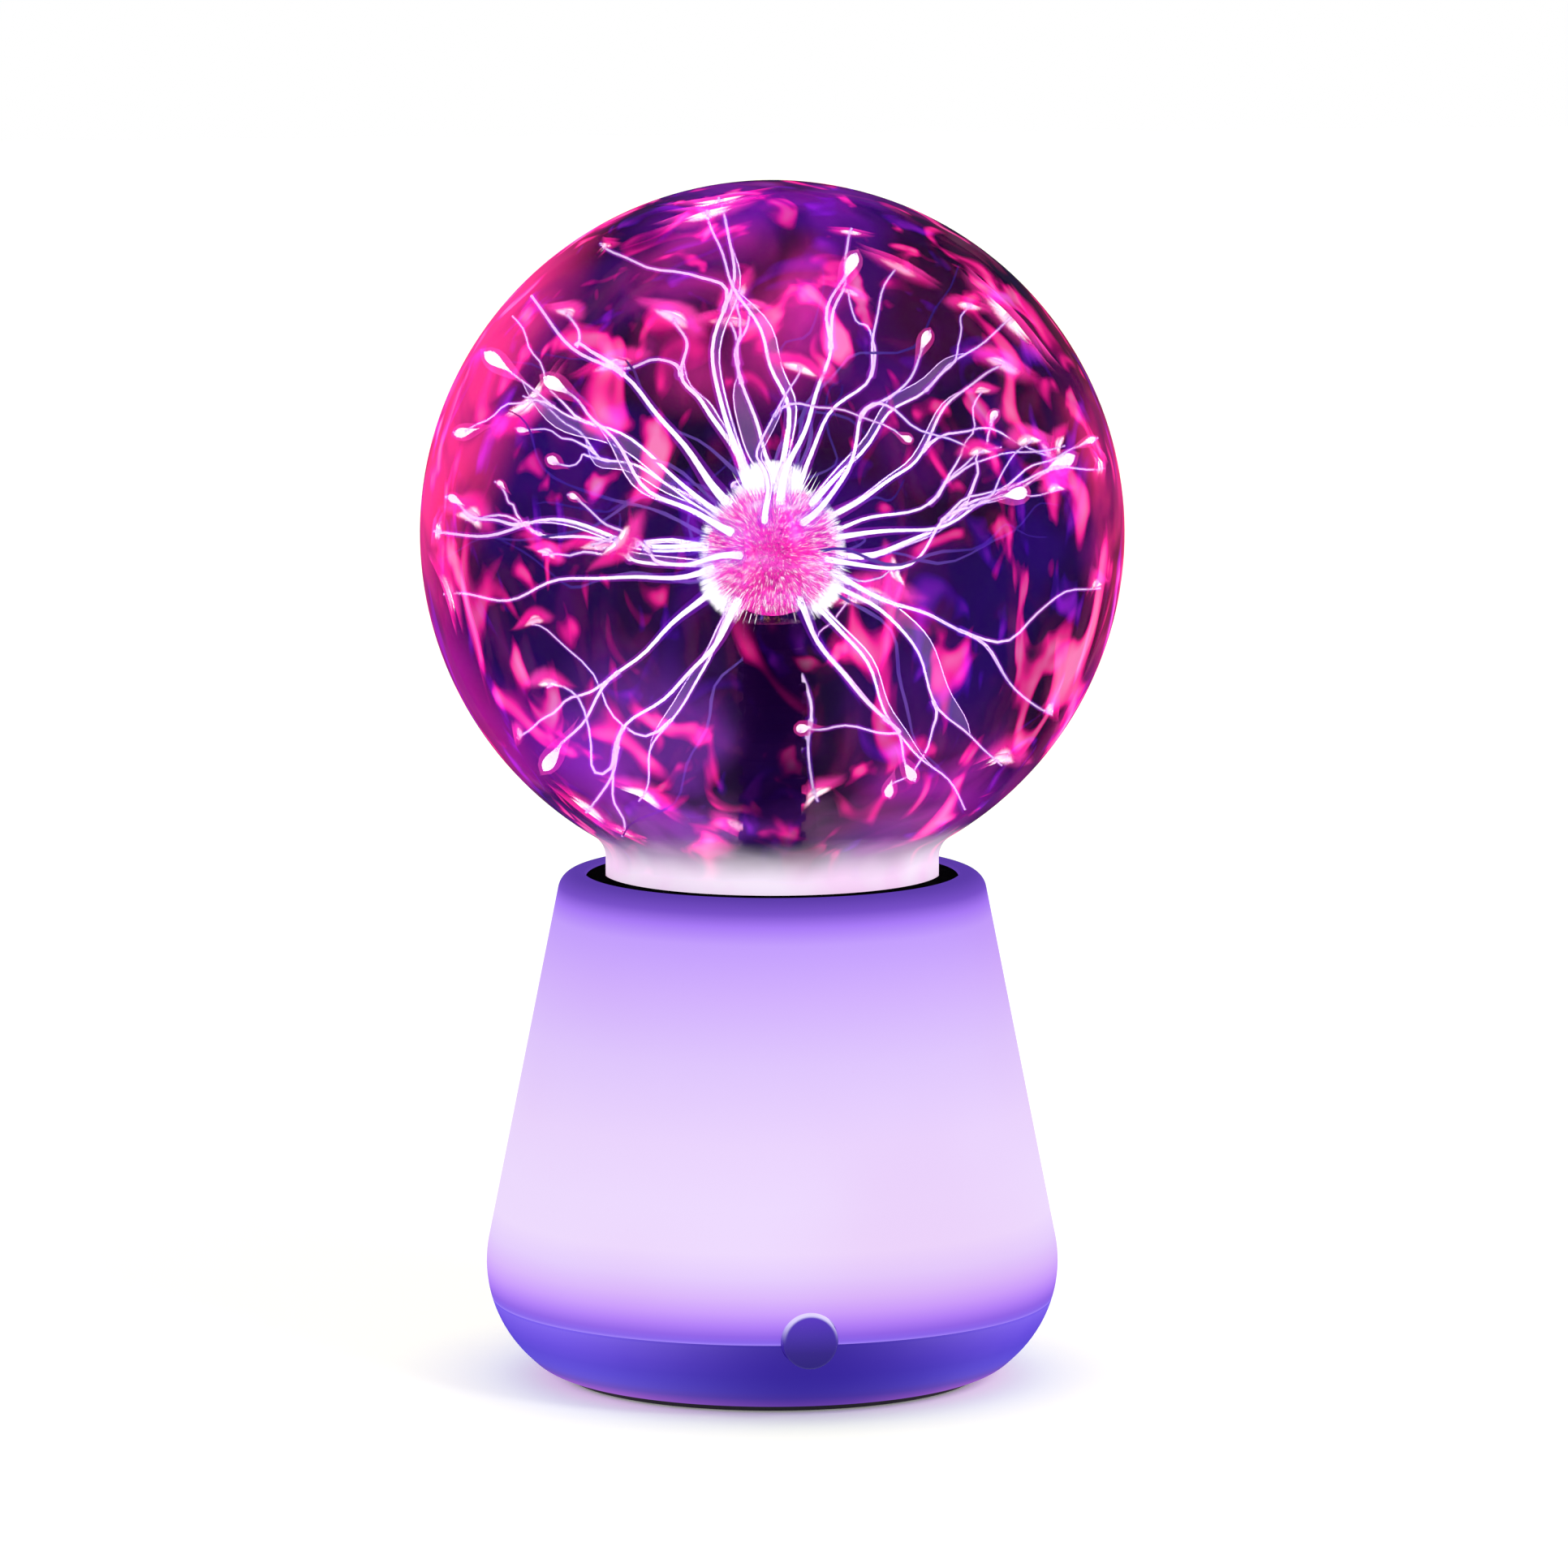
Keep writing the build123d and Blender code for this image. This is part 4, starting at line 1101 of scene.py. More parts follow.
# ================================================================ globe
@dataclass
class Globe:
    """Blown glass envelope with the re-entrant stem that carries the electrode."""

    radius: float = 60.0 * MM
    wall: float = 1.6 * MM
    neck: float = 28.5 * MM
    blend: float = 5.0 * MM
    bulb: float = 13.0 * MM
    bulb_wall: float = 1.4 * MM
    bulb_drop: float = 3.2 * MM
    stem: float = 7.5 * MM
    stem_blend: float = 4.0 * MM
    flare: float = 8.0 * MM
    outer_cover: float = 0.9
    inner_cover: float = 0.36
    foot: float = field(init=False)
    top: float = field(init=False)

    def __post_init__(self) -> None:
        """Takes the neck's foot and the ball's top from the frame."""
        low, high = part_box("glass_globe")
        self.foot, self.top = low.z, high.z

    @property
    def centre(self) -> float:
        """Height of the ball's middle."""
        return self.top - self.radius

    @property
    def behind(self) -> float:
        """How much dimmer a light looks through the two faces of the glass."""
        return (1 - self.outer_cover) * (1 - self.inner_cover)

    def ball_and_neck(self, inset_by: float) -> list[Point]:
        """Outline from the neck's foot to the ball's top, inset from the outside.

        Args:
            inset_by: how far inside the outer face, in metres.

        Returns:
            Radius and height of each point.
        """
        ball, neck, blend = self.radius - inset_by, self.neck - inset_by, self.blend + inset_by
        pull = neck + blend
        drop = math.sqrt((ball + blend) ** 2 - pull**2)
        outline = [(neck, self.foot)]
        outline += arc((pull, self.centre - drop), blend, math.pi, math.atan2(drop, -pull), 14)
        outline += arc((0.0, self.centre), ball, math.atan2(-drop, pull), math.pi / 2, 80)[1:-1]
        return [*outline, (0.0, self.centre + ball)]

    def envelope(self) -> Part:
        """Ball and neck, dressed with the glow of the gas.

        Returns:
            The piece.
        """
        outline = self.ball_and_neck(0.0) + self.ball_and_neck(self.wall)[::-1]
        frost = (self.foot + 17 * MM, self.foot + 26 * MM)
        skin = self.radius - self.wall / 2
        finish = GlowingGas("glowing gas", self.centre, *frost, skin, self.outer_cover, self.inner_cover)
        piece = lathe("globe_envelope", outline, finish.material(), 192)
        return settle(piece, "base", "clear_glass", "glass_globe")

    def stem_outline(self, inset_by: float) -> list[Point]:
        """Outline of flare, stem and bulb from the neck to the bulb's top, inset from the gas side.

        Args:
            inset_by: how far inside the glass's face on the gas side, in metres.

        Returns:
            Radius and height of each point.
        """
        bulb, stem, blend = self.bulb - inset_by, self.stem - inset_by, self.stem_blend + inset_by
        middle = self.centre - self.bulb_drop
        sole = self.foot - inset_by
        flare = self.flare + inset_by
        pull = stem + blend
        drop = math.sqrt((bulb + blend) ** 2 - pull**2)
        outline = [(self.neck, sole)]
        outline += arc((stem + flare, sole + flare), flare, -math.pi / 2, -math.pi, 12)
        outline += arc((pull, middle - drop), blend, math.pi, math.atan2(drop, -pull), 12)
        outline += arc((0.0, middle), bulb, math.atan2(-drop, pull), math.pi / 2, 32)[1:-1]
        return [*outline, (0.0, middle + bulb)]

    def inner_glass(self) -> Part:
        """Inner bulb and stem.

        Returns:
            The piece.
        """
        outline = self.stem_outline(0.0) + self.stem_outline(self.bulb_wall)[::-1]
        finish = StemGlass("stem glass", self.foot + 12 * MM, self.foot + 22 * MM, 0.6)
        piece = lathe("electrode_envelope", outline, finish.material(), 96)
        return settle(piece, "base", "electrode_glass", "electrode_glass")

    def insulator(self) -> Part:
        """Ribbed sleeve in the stem.

        Returns:
            The piece.
        """
        low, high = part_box("stem_insulator")
        outer, root, bore = high.x, high.x - 0.8 * MM, 1.6 * MM
        pitch, land, bevel = 3.2 * MM, 1.4 * MM, 0.2 * MM
        first = self.foot - self.bulb_wall
        outline = [(bore, low.z), (root, low.z)]
        for step in range(int((high.z - first) / pitch)):
            rib = first + step * pitch
            outline += [(root, rib), (outer, rib + bevel), (outer, rib + land - bevel), (root, rib + land)]
        outline += [(root, high.z), (bore, high.z)]
        dark = RibbedShadow("ribbed sleeve", self.foot + 20 * MM, high.z, 0.8 / self.behind)
        piece = lathe("ribbed_sleeve", outline, dark.material(), 64)
        return settle(piece, "base", "insulator", "stem_insulator")

    def electrode(self) -> Part:
        """Lumpy conductive ball in the bulb.

        Returns:
            The piece.
        """
        low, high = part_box("electrode_core")
        middle, radius = (low.z + high.z) / 2, (high.z - low.z) / 2
        mesh = bmesh.new()
        bmesh.ops.create_icosphere(mesh, subdivisions=5, radius=radius)
        chance = random.Random(11)
        waves = []
        for _ in range(9):
            way = Vector([chance.uniform(-1, 1) for _ in range(3)]).normalized()
            waves.append((way, chance.uniform(6, 13), chance.random() * 6))
        for vert in mesh.verts:
            along = vert.co.normalized()
            lift = sum(math.sin(wave.dot(along) * beat + phase) for wave, beat, phase in waves) / len(waves)
            vert.co = along * radius * (0.985 + 0.014 * lift)
            vert.co.z += middle
        fire = ElectrodeFire("electrode fire", 1.0 / self.behind)
        piece = finish_mesh("electrode_fire", mesh, fire.material(), 180)
        return settle(piece, "base", "electrode_core", "electrode_core")


# ================================================================ streamers
class Tip(Enum):
    """What a streamer ends in."""

    LEAF = "leaf of light that lies on the glass"
    DROP = "drop of light along the streamer"
    BARE = "nothing"


@dataclass
class Streamers:
    """Discharge paths from the electrode to the glass, with their haloes, footprints and brush.

    Attributes:
        globe: the glass that they reach.
        count: how many a whole ball would have.
        seed: seed of every random draw.
        clear_cone: how steeply downwards none sets off, as the stem stands there.
        root: distance of their starts from the electrode's middle, in metres.
        inner: distance of their ends from the ball's middle, in metres.
        quiet: direction round which none hides the electrode.
        heart: middle of the electrode.
        middle: middle of the ball.
        chance: source of the random draws.
        paths: streamers, with their thickness at each point.
        ghosts: faint paths.
        webs: each streamer's run beside its twin.
        tips: kind, place, direction and size of what each path ends in.
    """

    globe: Globe
    count: int = 40
    seed: int = 5
    clear_cone: float = 0.78
    root: float = 10.9 * MM
    inner: float = 57.8 * MM
    quiet: Vector = field(default_factory=lambda: Vector((-0.13, -0.97, -0.2)))
    heart: Vector = field(init=False)
    middle: Vector = field(init=False)
    chance: random.Random = field(init=False)
    paths: list[Path] = field(default_factory=list)
    ghosts: list[Path] = field(default_factory=list)
    webs: list[tuple[list[Vector], list[Vector]]] = field(default_factory=list)
    tips: list[tuple[Tip, Vector, Vector, float]] = field(default_factory=list)

    def __post_init__(self) -> None:
        """Grows the paths once, the same way each time."""
        self.chance = random.Random(self.seed)
        self.heart = Vector((0.0, 0.0, self.globe.centre - self.globe.bulb_drop))
        self.middle = Vector((0.0, 0.0, self.globe.centre))
        for way in self.spread(self.count, -self.clear_cone):
            if way.dot(self.quiet) < 0.86:
                self.grow(self.jitter(way, 0.09))
        for way in self.spread(self.count, -self.clear_cone):
            if way.dot(self.quiet) < 0.1:
                self.haunt(self.jitter(way, 0.3))

    def spread(self, count: int, lowest: float) -> list[Vector]:
        """Directions spread evenly over a ball, but for its underside.

        Args:
            count: how many a whole ball would have.
            lowest: least height of a direction's unit vector.

        Returns:
            The directions.
        """
        golden = math.pi * (3 - math.sqrt(5))
        ways = []
        for index in range(count):
            height = 1 - 2 * (index + 0.5) / count
            flat = math.sqrt(1 - height * height)
            if height > lowest:
                a = golden * index
                ways.append(Vector((flat * math.cos(a), flat * math.sin(a), height)))
        return ways

    def to_glass(self, way: Vector) -> Vector:
        """Where a direction from the electrode's middle meets the glass's inner face.

        Args:
            way: unit vector from the electrode's middle.

        Returns:
            The point on the glass.
        """
        offset = self.heart - self.middle
        along = way.dot(offset)
        return self.heart + way * (-along + math.sqrt(along * along - offset.length_squared + self.inner**2))

    def jitter(self, way: Vector, spread: float) -> Vector:
        """A direction near another."""
        noise = Vector([self.chance.gauss(0, spread) for _ in range(3)])
        return (way + noise).normalized()

    def trace(self, start: Vector, leave: Vector, end: Vector, wander: float, steps: int) -> list[Vector]:
        """Smooth wandering path.

        Args:
            start: first point.
            leave: direction in which it sets off.
            end: last point.
            wander: how far it strays sideways, as a share of its length.
            steps: how many runs it has.

        Returns:
            Its points.
        """
        chord = end - start
        length = chord.length
        pull_out = start + leave * length * 0.45
        pull_in = end - (end - self.middle).normalized() * length * 0.25
        side = chord.cross(Vector((0.31, 0.52, 0.8))).normalized()
        other = chord.cross(side).normalized()
        slow = [(self.chance.uniform(0.8, 1.3), self.chance.random() * math.tau) for _ in range(2)]
        quick = [(self.chance.uniform(2.2, 3.4), self.chance.random() * math.tau) for _ in range(2)]
        points = []
        for step in range(steps + 1):
            t = step / steps
            first = start.lerp(pull_out, t).lerp(pull_out.lerp(pull_in, t), t)
            last = pull_out.lerp(pull_in, t).lerp(pull_in.lerp(end, t), t)
            amount = math.sin(math.pi * t) * wander * length
            sway, bend = (
                math.sin(math.tau * f * t + p) + 0.28 * math.sin(math.tau * g * t + q)
                for (f, p), (g, q) in zip(slow, quick)
            )
            points.append(first.lerp(last, t) + side * amount * sway + other * amount * bend)
        return points

    def grow(self, way: Vector) -> None:
        """One streamer, its forks and the web that its flicker leaves.

        Args:
            way: direction in which it sets off.
        """
        lean = 0.10 if way.z > -0.25 else -0.22
        end_way = (self.jitter(way, 0.12) + Vector((0.0, 0.0, lean))).normalized()
        stem = self.trace(self.heart + way * self.root, way, self.to_glass(end_way), 0.042, 24)
        thick = self.chance.uniform(0.7, 1.2)
        self.add(stem, thick, 0.45 * thick)
        self.end(stem, self.chance.uniform(0.8, 1.4))
        fork = self.chance.randint(11, 15)
        for _ in range(self.chance.choice((0, 1, 1, 1, 2))):
            branch_way = self.jitter((stem[fork] - self.heart).normalized(), 0.2)
            onward = (stem[fork + 1] - stem[fork - 1]).normalized()
            twig = self.trace(stem[fork], onward, self.to_glass(branch_way), 0.045, 14)
            self.add(twig, 0.6 * thick, 0.4 * thick)
            self.end(twig, self.chance.uniform(0.5, 1.0))
            fork = min(fork + self.chance.randint(2, 4), 20)
        if self.chance.random() < 0.55:
            self.flicker(stem, way, end_way, thick)

    def flicker(self, stem: list[Vector], way: Vector, end_way: Vector, thick: float) -> None:
        """Fainter twin beside a streamer, with a web of light between the two.

        Args:
            stem: the streamer's points.
            way: direction in which it sets off.
            end_way: direction of its end.
            thick: its thickness, where one is usual.
        """
        angle = self.chance.choice((-1, 1)) * self.chance.uniform(0.05, 0.11)
        turn = Matrix.Rotation(angle, 3, self.jitter(way, 0.4))
        twin = [self.heart + turn @ (spot - self.heart) for spot in stem]
        drift = self.jitter(end_way, 0.05) - end_way
        twin = [spot + drift * (spot - self.heart).length * 0.8 for spot in twin]
        cut = self.chance.randint(15, 21)
        for index in range(cut - 7, cut):
            twin[index] = twin[index].lerp(stem[index], ((index - cut + 8) / 7) ** 2)
        self.add(twin[:cut], 0.45 * thick, 0.2 * thick)
        self.webs.append((stem[:cut], twin[:cut]))

    def haunt(self, way: Vector) -> None:
        """Faint path, as a streamer leaves where it stood a moment ago.

        Args:
            way: direction in which it sets off.
        """
        steps = 20
        start, end = self.heart + way * self.root, self.to_glass(self.jitter(way, 0.35))
        path = self.trace(start, way, end, 0.07, steps)
        widths = [self.chance.uniform(0.6, 1.1) * (1 - 0.6 * step / steps) for step in range(steps + 1)]
        self.ghosts.append((path, widths))

    def add(self, points: list[Vector], root: float, tip: float) -> None:
        """Keeps a path with its thickness at each point.

        Args:
            points: the path.
            root: thickness at its start.
            tip: thickness at its end.
        """
        last = len(points) - 1
        widths = []
        for index in range(last + 1):
            t = index / last
            widths.append(root + (tip - root) * t**0.5 + 0.8 * root * math.exp(-t * 9))
        self.paths.append((points, widths))

    def end(self, points: list[Vector], size: float) -> None:
        """Chooses what a path ends in, and which way that lies.

        Args:
            points: the path.
            size: size of what it ends in.
        """
        kind = self.chance.choices((Tip.LEAF, Tip.DROP, Tip.BARE), (6, 3, 1))[0]
        out = (points[-1] - self.middle).normalized()
        along = (points[-1] - points[-4]).normalized()
        if kind is Tip.LEAF:
            along = self.jitter(Vector((0.2, 0.1, 1.0)).cross(out), 0.5)
            along = (along - out * along.dot(out)).normalized()
        self.tips.append((kind, self.middle + out * self.inner * 0.985, along, size))

    def guides(self, name: str, paths: list[Path]) -> Part:
        """Curve object that holds a list of paths.

        Args:
            name: the object's name.
            paths: points and widths of each path.

        Returns:
            The curve object.
        """
        curve = bpy.data.curves.new(name, "CURVE")
        curve.dimensions = "3D"
        for points, widths in paths:
            spline = curve.splines.new("POLY")
            spline.points.add(len(points) - 1)
            for mark, spot, width in zip(spline.points, points, widths):
                mark.co = (*spot, 1.0)
                mark.radius = width
        made = bpy.data.objects.new(name, curve)
        bpy.context.scene.collection.objects.link(made)
        return made

    def tubes(self, name: str, paths: list[Path], thickness: float, material: Material) -> Part:
        """Sweeps a round section along each of a list of paths.

        Args:
            name: the piece's name.
            paths: the paths.
            thickness: radius of the section where a path's width is one.
            material: its material.

        Returns:
            The swept piece.
        """
        tree = Tree(f"{name} sweep")
        size = tree.size("Thickness", thickness)
        ring = tree.node("GeometryNodeCurvePrimitiveCircle", Resolution=8, Radius=size)
        width = tree.node("GeometryNodeInputRadius")
        sweep = tree.node(
            "GeometryNodeCurveToMesh",
            Curve=tree.source.outputs[0],
            Profile_Curve=ring.outputs[0],
            Scale=width.outputs[0],
            Fill_Caps=True,
        )
        tree.close(sweep.outputs[0], material)
        piece = tree.grow(name, self.guides(f"{name} guides", paths), {"Thickness": thickness})
        return settle(piece, "base", "electrode_core")

    def membranes(self, name: str, material: Material, thin: float = 0.05 * MM) -> Part:
        """Thin sheets of light between each streamer and its twin.

        Args:
            name: the piece's name.
            material: its material.
            thin: thickness of a sheet.

        Returns:
            The piece.
        """
        mesh = bmesh.new()
        for left, right in self.webs:
            rows = []
            for a, b in zip(left, right):
                lift = (b - a).cross(a - self.heart).normalized() * thin / 2
                rows.append([mesh.verts.new(spot) for spot in (a + lift, b + lift, b - lift, a - lift)])
            for near, far in zip(rows, rows[1:]):
                for side in range(4):
                    after = (side + 1) % 4
                    mesh.faces.new((near[side], near[after], far[after], far[side]))
            mesh.faces.new(rows[0])
            mesh.faces.new(rows[-1][::-1])
        return settle(finish_mesh(name, mesh, material, 180), "base", "electrode_core")

    def leaf(self) -> Part:
        """Thin curled leaf, one unit long, lying in its own XY plane.

        Returns:
            The leaf, whose float layer "body" falls to nothing at its rim.
        """
        mesh = bmesh.new()
        body = mesh.verts.layers.float.new("body")
        rows = 7
        layers = []
        for lift in (0.0, 0.05):
            spine = []
            for index in range(rows + 1):
                t = index / rows
                width = 0.15 * math.sin(math.pi * t**0.75) ** 0.9 + 0.008
                curl, sway = 0.08 * math.sin(math.pi * t), 0.10 * math.sin(math.pi * t) ** 2
                places = ((t - 0.5, side * width + sway, lift - curl * abs(side)) for side in (-1, 0, 1))
                spine.append([mesh.verts.new(place) for place in places])
                spine[-1][1][body] = math.sin(math.pi * t)
            layers.append(spine)
        under, over = layers
        for row in range(rows):
            for side in (0, 1):
                for spine in layers:
                    near, far = spine[row], spine[row + 1]
                    mesh.faces.new((near[side], far[side], far[side + 1], near[side + 1]))
            for edge in (0, 2):
                mesh.faces.new((under[row][edge], over[row][edge], over[row + 1][edge], under[row + 1][edge]))
        for row in (0, rows):
            for side in (0, 1):
                mesh.faces.new((under[row][side], under[row][side + 1], over[row][side + 1], over[row][side]))
        return finish_mesh("leaf", mesh, None, 180)

    def drop(self) -> Part:
        """Drop with a long tail, one unit long, its round head towards +X.

        Returns:
            The drop.
        """
        mesh = bmesh.new()
        rings, steps, sides = [], 9, 10
        for index in range(1, steps):
            t = index / steps
            radius = 0.16 * math.sin(math.pi * t**2.2) ** 0.8
            turns = (math.tau * side / sides for side in range(sides))
            spots = ((t - 0.85, radius * math.cos(a), radius * math.sin(a)) for a in turns)
            rings.append([mesh.verts.new(spot) for spot in spots])
        tail, head = mesh.verts.new((-0.85, 0, 0)), mesh.verts.new((0.15, 0, 0))
        for side in range(sides):
            after = (side + 1) % sides
            mesh.faces.new((tail, rings[0][after], rings[0][side]))
            mesh.faces.new((head, rings[-1][side], rings[-1][after]))
            for near, far in zip(rings, rings[1:]):
                mesh.faces.new((near[side], near[after], far[after], far[side]))
        return finish_mesh("drop", mesh, None, 180)

    def scatter(
        self,
        name: str,
        seed: Part,
        marks: list[Mark],
        length: float,
        material: Material,
        flat: bool = False,
    ) -> Part:
        """Puts a copy of a small mesh on each of a list of points.

        Args:
            name: the piece's name.
            seed: the small mesh, one unit long along its X, which is thrown away.
            marks: place, direction and size of each copy.
            length: length of a copy of size one.
            material: its material.
            flat: whether a copy's Z looks away from the ball's middle.

        Returns:
            The piece.
        """
        cloud = bpy.data.meshes.new(f"{name} points")
        cloud.from_pydata([mark[0] for mark in marks], [], [])
        store_vectors(cloud, "along", [way for _, way, _ in marks])
        store_vectors(cloud, "outward", [(spot - self.middle).normalized() for spot, _, _ in marks])
        sizes = cloud.attributes.new("size", "FLOAT", "POINT")
        sizes.data.foreach_set("value", [size for _, _, size in marks])
        points = bpy.data.objects.new(f"{name} points", cloud)
        bpy.context.scene.collection.objects.link(points)
        tree = Tree(f"{name} scatter")
        reach = tree.size("Length", length)
        scale = tree.node("ShaderNodeMath")
        scale.operation = "MULTIPLY"
        tree.group.links.new(tree.attribute("size", "FLOAT"), scale.inputs[0])
        tree.group.links.new(reach, scale.inputs[1])
        turn = tree.node("FunctionNodeAlignRotationToVector", Vector=tree.attribute("along", "FLOAT_VECTOR"))
        turn.axis = "X"
        stand = tree.node("FunctionNodeAlignRotationToVector", Rotation=turn.outputs[0])
        tree.group.links.new(tree.attribute("outward", "FLOAT_VECTOR"), stand.inputs["Vector"])
        stand.axis, stand.pivot_axis = "Z", "X"
        put = tree.node(
            "GeometryNodeInstanceOnPoints",
            Points=tree.source.outputs[0],
            Instance=tree.node("GeometryNodeObjectInfo", Object=seed).outputs["Geometry"],
            Rotation=(stand if flat else turn).outputs[0],
            Scale=scale.outputs[0],
        )
        tree.close(put.outputs[0], material)
        piece = tree.grow(name, points, {"Length": length})
        bpy.data.objects.remove(seed)
        return settle(piece, "base", "electrode_core")

    def marks(self, kind: Tip) -> list[Mark]:
        """Place, direction and size of each tip of a kind."""
        return [(spot, way, size) for this, spot, way, size in self.tips if this is kind]

    def bristle(self) -> Part:
        """Thin spike, one unit long along X.

        Returns:
            The spike.
        """
        mesh = bmesh.new()
        foot = [mesh.verts.new((0, 0.035 * math.cos(a), 0.035 * math.sin(a))) for a in (0, 2.1, 4.2)]
        peak = mesh.verts.new((1, 0, 0))
        mesh.faces.new(foot[::-1])
        for side in range(3):
            mesh.faces.new((foot[side], foot[(side + 1) % 3], peak))
        return finish_mesh("bristle", mesh, None, 180)

    def bristles(self, count: int, start: float) -> list[Mark]:
        """Spikes that stand all over the electrode, longer and thicker set in three tufts.

        Args:
            count: how many a whole ball would have.
            start: distance of their feet from the electrode's middle.

        Returns:
            Place, direction and size of each.
        """
        ways = [(self.jitter(way, 0.04), self.chance.uniform(0.9, 1.08)) for way in self.spread(count, -0.8)]
        tufts = (((0, 0, 1), 4, 2.9), ((-0.75, -0.05, -0.6), 10, 1.9), ((0.75, -0.1, -0.6), 10, 1.9))
        for tuft, share, tall in tufts:
            for _ in range(count // share):
                ways.append((self.jitter(Vector(tuft), 0.16), self.chance.uniform(0.75, 1.0) * tall))
        return [(self.heart + way * start, self.jitter(way, 0.06), size) for way, size in ways]

    def threads(self, boost: float) -> None:
        """Streamers, their haloes and webs, and the faint paths behind them.

        Args:
            boost: how much brighter a light is made than it looks through the glass.
        """
        source = self.heart.z
        core = Discharge("streamer core", (0.94, 0.66, 1.0), (1.0, 0.96, 1.0), 1.7 * boost, source=source)
        halo = Discharge("streamer halo", (0.22, 0.02, 0.85), (0.70, 0.05, 0.80), 0.9 * boost, 0.15, 60.0)
        grey = ((0.05, 0.02, 0.22), (0.16, 0.08, 0.34))
        ghost = Discharge("faint path", *grey, boost, patch=50.0, source=source)
        web = Discharge("flicker web", (0.25, 0.16, 0.62), (0.60, 0.30, 0.80), 0.8 * boost, 0.16, 90.0)
        self.tubes("streamer_cores", self.paths, 0.42 * MM, core.material())
        self.tubes("streamer_haloes", self.paths, 1.05 * MM, halo.material())
        self.tubes("faint_paths", self.ghosts, 0.40 * MM, ghost.material())
        self.membranes("flicker_webs", web.material())

    def tufts(self, boost: float) -> None:
        """Footprints on the glass, drops and the brush on the electrode.

        Args:
            boost: how much brighter a light is made than it looks through the glass.
        """
        hot = Discharge("footprint heart", (1.0, 0.62, 0.76), (1.0, 0.93, 0.93), 1.7 * boost, fading=True)
        warm = Discharge("footprint skirt", (0.95, 0.012, 0.26), (1.0, 0.06, 0.42), boost, 0.8, fading=True)
        bead = Discharge("drop heart", (1.0, 0.70, 0.86), (1.0, 0.95, 0.97), 1.5 * boost)
        glow = Discharge("drop skirt", (0.95, 0.02, 0.34), (1.0, 0.10, 0.50), 0.9 * boost, 0.25)
        fringe = (11.4 * MM, 12.2 * MM)
        brush = Discharge(
            "electrode brush",
            (1.0, 0.95, 1.0),
            (1.0, 0.04, 0.50),
            1.3 * boost,
            patch=900.0,
            source=self.heart.z,
            reach=fringe,
            loss=0.0,
        )
        leaves, drops = self.marks(Tip.LEAF), self.marks(Tip.DROP)
        self.scatter("footprint_hearts", self.leaf(), leaves, 8.5 * MM, hot.material(), flat=True)
        self.scatter("footprint_skirts", self.leaf(), leaves, 19.0 * MM, warm.material(), flat=True)
        self.scatter("drop_hearts", self.drop(), drops, 5.5 * MM, bead.material())
        self.scatter("drop_skirts", self.drop(), drops, 10.0 * MM, glow.material())
        spikes = self.bristles(5500, 11.2 * MM)
        self.scatter("electrode_brush", self.bristle(), spikes, 1.6 * MM, brush.material())

    def build(self) -> None:
        """Makes every piece of the discharge, bright enough to be seen through the glass."""
        boost = 1.0 / self.globe.behind
        self.threads(boost)
        self.tufts(boost)


